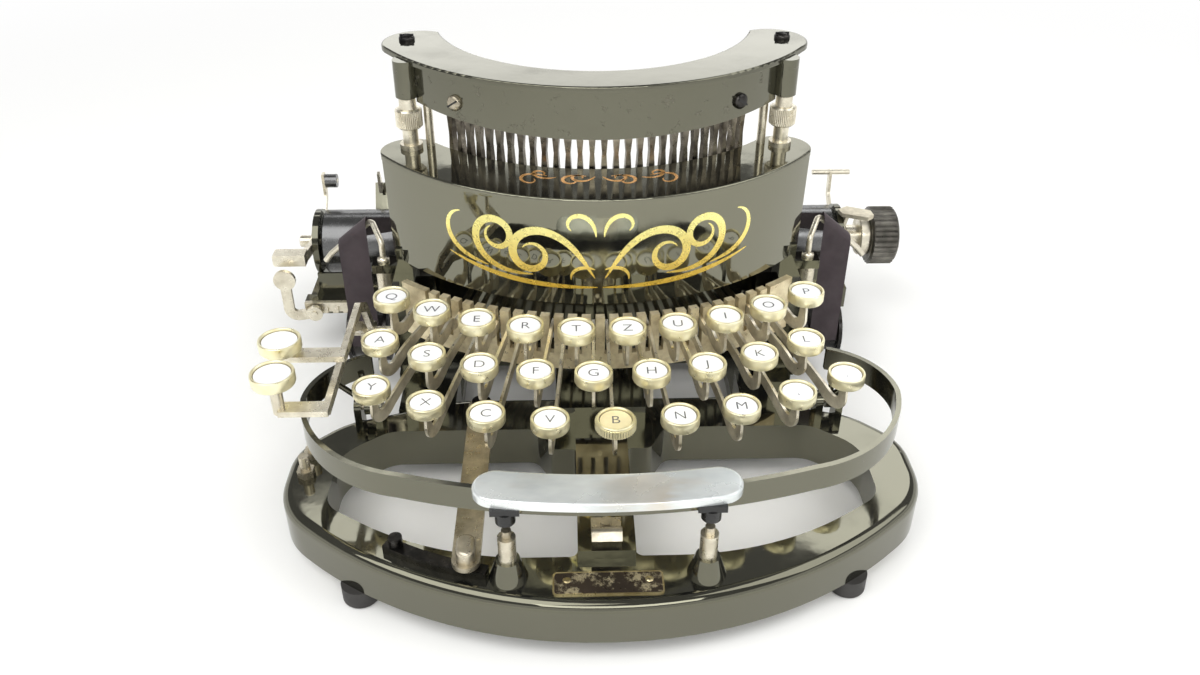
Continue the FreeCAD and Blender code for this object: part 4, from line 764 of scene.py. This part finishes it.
def rear_arm(shape, lever):
    """The part of a lever behind its comb, as the CAD has it."""
    fresh = shape.copied(lever, LEVER_STEEL)
    reach = LEVER_ROOT[0] + 0.5
    gone = [face for face in fresh
            if max((v.co / MM - Vector((0, FAN_SHIFT, 0))).xy.length for v in face.verts) > reach]
    bmesh.ops.delete(shape.bm, geom=gone, context="FACES")


def key(row, number, letter):
    """A lever and its round top."""
    node = "key_%s_%d" % (ROWS[row], number)
    lever, cup = solids_of(node)[:2]
    centre = rim_centre(cup)
    card = INSERT if node == KNURLED_KEY else KEY_CARD
    shape = Shape(LEVER_STEEL, LEVER_EDGE, KEY_RING, PAINTED_RING_SHADE, card, KEY_INK)
    rear_arm(shape, lever[0])
    hooked_arm(shape, row, number, cup[1].z)
    key_top(shape, centre, KEY_RADIUS, card, letter)
    if node == KNURLED_KEY:
        groove = KEY_RADIUS + 0.03
        # painted shade: a dark band behind the ribs, so the gaps between them look shaded
        shape.turned([(groove, 1.0 - RING_HEIGHT), (groove, -1.7)], centre * MM, PAINTED_RING_SHADE)
        ribs = ribbed_band(KEY_RADIUS + 0.02, RING_HEIGHT - 1.5, 0.38, KNURL_COUNT, KEY_RING)
        shape.copied(ribs, KEY_RING, Matrix.Translation((centre - Vector((0, 0, 2.5))) * MM))
    placed(node + "_top", shape, node)


def shift_key(node):
    """A shift lever with its larger, blank round top."""
    lever, cup = solids_of(node)[:2]
    shape = Shape(NICKEL, KEY_RING, PAINTED_RING_SHADE, KEY_CARD)
    shape.copied(lever[0], NICKEL)
    key_top(shape, rim_centre(cup), SHIFT_KEY_RADIUS, KEY_CARD)
    placed(node + "_top", shape, node)


for row, name in enumerate(ROWS):
    for number, letter in enumerate(CHARACTERS[name], 1):
        key(row, number, letter)
shift_key("shift_lever_upper")
shift_key("shift_lever_lower")


# ---------------------------------------- nuts, screws and pillars
COVER_RADIUS = 100.0         # of the lid's wall
COVER_CENTRE_Y = FAN_SHIFT - 5.0
NUT_WIDTH = 10.0             # only the knurled nuts are wider
LID_TOP, LID_WALL = 160.0, 140.0    # screws that begin higher are on the lid's top or its wall
SCREW_HEIGHT = 5.0           # only screws are lower
SLOT_REACH, SLOT_HALF = 0.86, 0.35  # of a screw's slot: share of its radius, half its width


def round_screw(shape, centre, radius, height, finish, axis=(0, 0, 1)):
    """A round-headed screw with its slot as a black bar across its crown: painted shade in place of
    a hollow.
    """
    dome = [(0, 0), (radius, 0), (radius, height * 0.35)]
    for step in range(1, 6):
        a = step * math.pi / 12
        dome.append((radius * math.cos(a), height * (0.35 + 0.65 * math.sin(a))))
    dome.append((0, height))
    shape.turned(dome, centre * MM, finish, 32, axis)
    bar = rectangle(radius * SLOT_REACH, -SLOT_HALF, SLOT_HALF)
    place = Matrix.Translation(centre * MM) @ turned_to(axis).to_4x4()
    # painted shade: the slot is a black bar standing a little proud of the crown, not a hollow
    shape.slab(bar, height * 0.7, height + 0.02, PAINTED_SLOT_SHADE, place)


def knurled_nut(shape, low, high):
    """A tall round nut with a milled band under a domed crown."""
    centre = Vector(((low.x + high.x) / 2, (low.y + high.y) / 2, low.z))
    radius, height = (high.x - low.x) / 2, high.z - low.z
    band = height * 0.62
    shape.turned([(0, 0), (radius - 0.7, 0), (radius - 0.3, 0.5), (radius - 0.3, band - 0.6),
                  (radius - 0.9, band), (3.6, band + 0.2), (3.5, band + 0.9), (3.5, height - 0.5),
                  (3.1, height), (0, height)], centre * MM, NICKEL, 40)
    milled = ribbed_band(radius - 0.35, band - 1.2, 0.35, KNURL_COUNT, NICKEL)
    shape.copied(milled, NICKEL, Matrix.Translation((centre + Vector((0, 0, band / 2))) * MM))


def nuts_and_screws():
    """The lid's nuts and every screw, told apart by size and height."""
    shape = Shape(NICKEL, BROWN_NICKEL, DARK_STEEL, PAINTED_SLOT_SHADE)
    for mesh, low, high in solids_of("nuts_and_screws"):
        middle, size = (low + high) / 2, high - low
        foot = Vector((middle.x, middle.y, low.z))
        if size.x > NUT_WIDTH:
            knurled_nut(shape, low, high)
        elif low.z > LID_TOP:
            round_screw(shape, foot, size.x / 2, size.z, DARK_STEEL)
        elif low.z > LID_WALL:
            away = Vector((middle.x, middle.y - COVER_CENTRE_Y, 0)).normalized()
            seat = away * COVER_RADIUS + Vector((0, COVER_CENTRE_Y, middle.z))
            finish = BROWN_NICKEL if middle.x < 0 else DARK_STEEL
            round_screw(shape, seat, size.z / 2, 2.2, finish, away)
        elif size.z < SCREW_HEIGHT:
            round_screw(shape, foot, size.x / 2, size.z, NICKEL)
        else:
            shape.copied(mesh, NICKEL)
    placed("nuts_and_screws_head", shape, "nuts_and_screws")


nuts_and_screws()


# ---------------------------------------- gilt scrollwork on the shield
SHIELD_RADIUS = 111.0        # of the wall's outside, about its own centre
SHIELD_CENTRE_Y = FAN_SHIFT - 13.0
SHIELD_CEILING = 124.2
SHIELD_FLOOR = 79.0
SHIELD_TAPER = 0.8
SHIELD_TOP = 125.4
GILT_LIFT = 0.06

SCROLL_STEPS = 64
SCROLL_HALF_TIP = 0.16       # half the width that a stroke keeps at its ends
# each stroke: start, heading in degrees, bend at its start and end in degrees per
# millimetre, length and greatest width; drawn on both sides of the middle
WALL_SCROLLS = [
    ((2.0, 91.0), 58, (0.6, -12.2), 82, 3.3),
    ((27.0, 91.5), -3, (0.4, 13.2), 76, 3.0),
    ((46.0, 92.8), 10, (0.3, 8.8), 36, 2.0),
    ((1.0, 86.8), 0, (0.1, 0.5), 64, 2.0),
    ((1.6, 109.5), 86, (-2.0, -19.0), 22, 1.6),
    ((2.0, 95.0), 20, (-3.0, -16.0), 13, 1.2),
]
TOP_SCROLLS = [
    ((1.5, 103.0), 60, (-2.0, -34.0), 20, 1.1),
    ((5.0, 102.6), -12, (1.0, 30.0), 22, 1.1),
    ((17.0, 104.8), 25, (-1.0, -34.0), 20, 1.1),
    ((20.5, 103.8), -15, (1.0, 26.0), 24, 1.0),
]


def scroll(start, heading, bends, length, width):
    """A stroke that winds ever tighter: its centre points, headings and half widths."""
    x, y = start
    angle = math.radians(heading)
    stride = length / SCROLL_STEPS
    rows = []
    for i in range(SCROLL_STEPS + 1):
        t = i / SCROLL_STEPS
        half = 0.5 * width * math.sin(math.pi * t) ** 0.75 + SCROLL_HALF_TIP
        rows.append((x, y, angle, half))
        angle += math.radians(bends[0] + (bends[1] - bends[0]) * t) * stride
        x += math.cos(angle) * stride
        y += math.sin(angle) * stride
    return rows


def on_arc(across, reach, bend, centre_y, z):
    """A point at a reach from an upright axis, some way round a circle of radius bend."""
    a = across / bend
    return Vector((reach * math.sin(a), centre_y - reach * math.cos(a), z)) * MM


def on_wall(across, z):
    """A point just proud of the shield's wall, at a distance round it from the middle."""
    drop = (SHIELD_CEILING - z) / (SHIELD_CEILING - SHIELD_FLOOR)
    reach = SHIELD_RADIUS - SHIELD_TAPER * drop + GILT_LIFT
    return on_arc(across, reach, SHIELD_RADIUS, SHIELD_CENTRE_Y, z)


def on_top(across, radius):
    """A point just proud of the shield's flat top, at a distance from the fan's centre."""
    return on_arc(across, radius, radius, FAN_SHIFT, SHIELD_TOP + GILT_LIFT / 2)


def gilding(name, strokes, surface, finish, flip):
    """Strokes laid on a surface, each with its mirror image."""
    bm = bmesh.new()
    for stroke in strokes:
        rows = scroll(*stroke)
        for side in (-1, 1):
            edges = []
            for x, y, angle, half in rows:
                left = surface(side * (x - half * math.sin(angle)), y + half * math.cos(angle))
                right = surface(side * (x + half * math.sin(angle)), y - half * math.cos(angle))
                edges.append((bm.verts.new(left), bm.verts.new(right)))
            for (a, b), (c, d) in zip(edges, edges[1:]):
                bm.faces.new((b, d, c, a) if (side > 0) != flip else (a, c, d, b))
    mesh = finished_mesh(name, bm, [finish])
    linked(name, mesh, BODY_OF["type_shield"], "plate_brass")


gilding("shield_scrollwork", WALL_SCROLLS, on_wall, GILT, False)
gilding("shield_top_scrollwork", TOP_SCROLLS, on_top, RED_GILT, True)


# ---------------------------------------- typebars
BAR_COUNT = 28
BAR_PITCH = 2.95             # degrees
BAR_RADIUS = 93.0
BAR_FOOT, BAR_TOP = 60.5, 160
LIVE_BARS = {11: "typebar_live_a", 16: "typebar_live_b"}


def typebar_form():
    """One upright typebar on the fan's centre line: blade, waisted head and its type slug."""
    shape = Shape(BAR_STEEL)
    upright = Matrix.Rotation(math.pi / 2, 4, "X")
    place = Matrix.Translation(Vector((0, -BAR_RADIUS, 0)) * MM) @ upright

    def standing(outline, near, far):
        shape.slab(outline, near, far, BAR_STEEL, place)

    standing(rectangle(0.7, BAR_FOOT, 117), -2.0, 2.0)
    standing([(-1.5, 116), (1.5, 116), (1.5, 121), (0.85, 131), (1.5, 139), (2.05, 143),
              (2.05, BAR_TOP), (-2.05, BAR_TOP), (-2.05, 143), (-1.5, 139), (-0.85, 131),
              (-1.5, 121)], -1.4, 1.4)
    standing(rectangle(1.85, 151.5, BAR_TOP), -2.6, 0)
    for low in (152.1, 156.2):
        standing(rectangle(1.1, low, low + 2.6), -3.0, -2.6)
    return shape.mesh("typebar_form", angle=20, merge=0)


def standing_bars():
    """The still typebars as runs of copies, left out where a swinging one stands."""
    runs, start = [], 0
    for stop in sorted(LIVE_BARS) + [BAR_COUNT]:
        runs.append((start, stop - start))
        start = stop + 1
    shape = Shape(BAR_STEEL)
    for first, count in runs:
        angle = (first - (BAR_COUNT - 1) / 2) * BAR_PITCH
        run = copies(typebar_form(), count, BAR_STEEL, first_angle=angle, step_angle=BAR_PITCH)
        shape.copied(run, BAR_STEEL, Matrix.Translation(Vector((0, FAN_SHIFT, 0)) * MM))
    placed("typebars_row", shape, "typebars")


standing_bars()


# ---------------------------------------- ribbon
RIBBON_HALF = 6.5
RIBBON_X = 107.0
RIBBON_DROP_Y = -72.35
SPOOL_Z = 26.0
FOLD_IN, FOLD_OUT = 88.4, 77.6      # heights of the fold at the strip's two edges
FOLD_RADIUS = 2.55
FOLD_RISE = 2.15                    # of the strip from the fold's start to its end
RIBBON_MIDDLE_Z = 60.05             # at the print point
RIBBON_STRANDS = 8                  # faces across the strip


def between(first, second, share):
    """A pair of points, at a share of the way from one pair to another."""
    return tuple(tuple(a + (b - a) * share for a, b in zip(p, q)) for p, q in zip(first, second))


def ribbon_rows():
    """Pairs of edge points along the ribbon, from the left spool to the right one."""
    inner, outer = RIBBON_X - RIBBON_HALF, RIBBON_X + RIBBON_HALF

    def pair(y, outer_z, inner_z):
        return (outer, y, outer_z), (inner, y, inner_z)

    low, high = pair(RIBBON_DROP_Y, SPOOL_Z, SPOOL_Z), pair(RIBBON_DROP_Y, FOLD_OUT, FOLD_IN)
    rows = [between(low, high, step / 12) for step in range(13)]
    for step in range(1, 8):
        a = math.pi * step / 8
        y = RIBBON_DROP_Y + FOLD_RADIUS * (1 - math.cos(a))
        lift = FOLD_RADIUS * math.sin(a) + step / 4
        rows.append(pair(y, FOLD_OUT + lift, FOLD_IN + lift))
    start = pair(RIBBON_DROP_Y + 2 * FOLD_RADIUS, FOLD_OUT + FOLD_RISE, FOLD_IN + FOLD_RISE)
    finish, *rest = [((x, RIBBON_HALF, RIBBON_MIDDLE_Z), (x, -RIBBON_HALF, RIBBON_MIDDLE_Z))
                     for x in (10, 5, 0)]
    rows += [between(start, finish, step / 24) for step in range(25)] + rest
    left = [tuple((-x, y, z) for x, y, z in row) for row in rows]
    return left + rows[-2::-1]


def ribbon_strip():
    """The inked ribbon as one strip, with its length and width kept as a map for the weave."""
    bm = bmesh.new()
    laid = bm.loops.layers.uv.new("along")
    rows, run, length = [], [], 0.0
    last = None
    for first, second in ribbon_rows():
        p, q = at(*first), at(*second)
        middle = (p + q) / 2
        length += (middle - last).length if last else 0
        last = middle
        run.append(length)
        rows.append([bm.verts.new(p.lerp(q, i / RIBBON_STRANDS))
                     for i in range(RIBBON_STRANDS + 1)])
    for row, (a, b) in enumerate(zip(rows, rows[1:])):
        for i in range(RIBBON_STRANDS):
            face = bm.faces.new((a[i], b[i], b[i + 1], a[i + 1]))
            face.smooth = True
            spots = ((row, i), (row + 1, i), (row + 1, i + 1), (row, i + 1))
            for loop, (along, side) in zip(face.loops, spots):
                loop[laid].uv = (run[along], side / RIBBON_STRANDS * 2 * RIBBON_HALF * MM)
    mesh = finished_mesh("ribbon_strip", bm, [RIBBON])
    strip = linked("ribbon_strip", mesh, BODY_OF["ribbon"], SLOT_OF["ribbon"], "ribbon")


ribbon_strip()


# ---------------------------------------- platen and its knob
PLATEN_Z = 43.5
PLATEN_RADIUS = 16.0
PLATEN_ENDS = (-136.0, 123.0)
KNOB_ENDS = (143.0, 157.0)
KNOB_RADIUS = 15.0
FLUTE_DEPTH = 0.85
FLUTE_COUNT = 30


def platen():
    """Rubber roller on its axle, with a plated collar and a fluted knob."""
    shape = Shape(RUBBER, NICKEL, KNOB_GREY)
    left, right = PLATEN_ENDS
    r = PLATEN_RADIUS
    low, high = KNOB_ENDS
    k = KNOB_RADIUS - FLUTE_DEPTH - 0.05
    roller = [
        (0, left + 0.4), (9, left + 0.4), (9, left), (r - 0.6, left), (r, left + 0.6),
        (r, right - 0.6), (r - 0.6, right), (9, right), (9, right - 0.4), (0, right - 0.4)]
    axle = [(0, -150), (2.6, -150), (3, -149.6), (3, left + 0.4)]
    collar = [
        (3, right - 0.4), (3, 131.5), (5.2, 131.5), (5.5, 131.8), (5.5, 138), (9.6, 138),
        (10, 138.5), (10, 142.5), (9.6, 143), (9, 143)]
    knob = [
        (0, low), (k - 1, low), (k, low + 0.8), (k, high - 1.8), (k - 0.5, high - 0.6),
        (k - 1.6, high), (11.5, high), (11, high - 0.9), (4, high - 0.9), (3.4, high - 0.4),
        (0, high - 0.4)]
    for profile, finish, steps in (
            (roller, RUBBER, 96), (axle, NICKEL, 24), (collar, NICKEL, 64), (knob, KNOB_GREY, 64)):
        shape.turned(profile, at(0, 0, PLATEN_Z), finish, steps, axis=(1, 0, 0))
    flutes = ribbed_band(k, high - low - 2.4, FLUTE_DEPTH, FLUTE_COUNT, KNOB_GREY)
    middle = Matrix.Translation(at((low + high) / 2 - 0.3, 0, PLATEN_Z))
    shape.copied(flutes, KNOB_GREY, middle @ Matrix.Rotation(math.pi / 2, 4, "Y"))
    placed("platen_roller", shape, "platen")


platen()


# ---------------------------------------- nameplate
NAMEPLATE_Y, NAMEPLATE_Z = -224.0, 26.0
RIM_HALF, RIM_CORNER = (19.5, 5.4), 1.6      # half sizes and corner radius
FACE_HALF, FACE_CORNER = (18.9, 4.8), 1.2
RIVET_X, RIVET_Y = 14.5, -222.6


def rounded_outline(half, radius, corner_steps=6):
    """A rounded rectangle from its half sizes."""
    points = []
    for sx, sy, start in ((1, -1, -90), (1, 1, 0), (-1, 1, 90), (-1, -1, 180)):
        for step in range(corner_steps + 1):
            a = math.radians(start + 90 * step / corner_steps)
            points.append((sx * (half[0] - radius) + radius * math.cos(a),
                           sy * (half[1] - radius) + radius * math.sin(a)))
    return points


def nameplate():
    """Bare black plate with a raised brass rim and two brass rivets."""
    shape = Shape(BRASS, PLATE_FACE)
    place = Matrix.Translation(at(0, NAMEPLATE_Y, NAMEPLATE_Z))
    shape.slab(rounded_outline(RIM_HALF, RIM_CORNER), 0, 0.55, BRASS, place)
    shape.slab(rounded_outline(FACE_HALF, FACE_CORNER), 0.3, 0.62, PLATE_FACE, place)
    for side in (-1, 1):
        dome = [(1.5, 0.5), (1.5, 0.7), (1.25, 0.95), (0.8, 1.12), (0, 1.2)]
        shape.turned(dome, at(RIVET_X * side, RIVET_Y, NAMEPLATE_Z), BRASS, 24)
    placed("nameplate_plate", shape, "nameplate")


nameplate()


# ---------------------------------------- nodes with several finishes
def dressed(node, finish_for):
    """A CAD node's own shape with joined faces; each solid's finish is chosen by place and size."""
    parts = solids_of(node)
    centre = Vector((0, FAN_SHIFT, 0))
    finishes = [finish_for((low + high) / 2 - centre, high - low) for mesh, low, high in parts]
    shape = Shape(*dict.fromkeys(finishes))
    for part, finish in zip(parts, finishes):
        shape.copied(part[0], finish)
    name = node + "_dressed"
    linked(name, shape.mesh(name, merge=0), BODY_OF[node], SLOT_OF[node], node)


def fitting_finish(middle, size):
    """Bright stops, brown pins, posts and clip, and dark selector parts."""
    if abs(abs(middle.x) - 35) < 4:
        return BROWN_NICKEL if size.x < 5 else NICKEL
    return BROWN_NICKEL if abs(middle.x) > 80 or abs(middle.x) < 6 else DARK_STEEL


def bracket_finish(middle, size):
    """The spools' arms are dark, the guides and the shift levers' rod bright."""
    return DARK_STEEL if middle.z < 30 else NICKEL


def paper_finish(middle, size):
    """Black table and feet, a rubber button on the left post, bright fittings."""
    if size.x > 100 or middle.z < 40:
        return JAPAN
    return RUBBER if abs(size.z - 7) < 0.2 and middle.x < -120 else NICKEL


def carriage_finish(middle, size):
    """The rail in front and the pin beside it are bright."""
    return NICKEL if middle.y < -31 and size.y < 4 else JAPAN


def hoop_finish(middle, size):
    """The four small solids of the two bumpers are rubber."""
    return BUMPER_RUBBER if middle.z > 52 and size.x < 12 else JAPAN_HOOP


dressed("base_fittings", fitting_finish)
dressed("ribbon_brackets", bracket_finish)
dressed("paper_table", paper_finish)
dressed("carriage_frame", carriage_finish)
dressed("space_hoop", hoop_finish)

FINISH_OF = {
    "base_casting": JAPAN_BASE, "frame_castings": JAPAN, "segment_blocks": JAPAN,
    "type_shield": JAPAN_SHIELD, "type_cover": JAPAN_COVER, "shift_cradle": JAPAN,
    "space_bar": SPACE_PLATE, "rubber_feet": FOOT_RUBBER, "key_comb": COMB_NICKEL,
    "typebar_live_a": BAR_STEEL, "typebar_live_b": BAR_STEEL, "spool_left": DARK_STEEL,
    "spool_right": DARK_STEEL, "line_space_lever": NICKEL, "platen_release": LEVER_STEEL,
    "selector_lever": BROWN_NICKEL,
}
for node in sorted(set(nodes) - DRESSED):
    dressed(node, lambda middle, size, finish=FINISH_OF.get(node, NICKEL): finish)
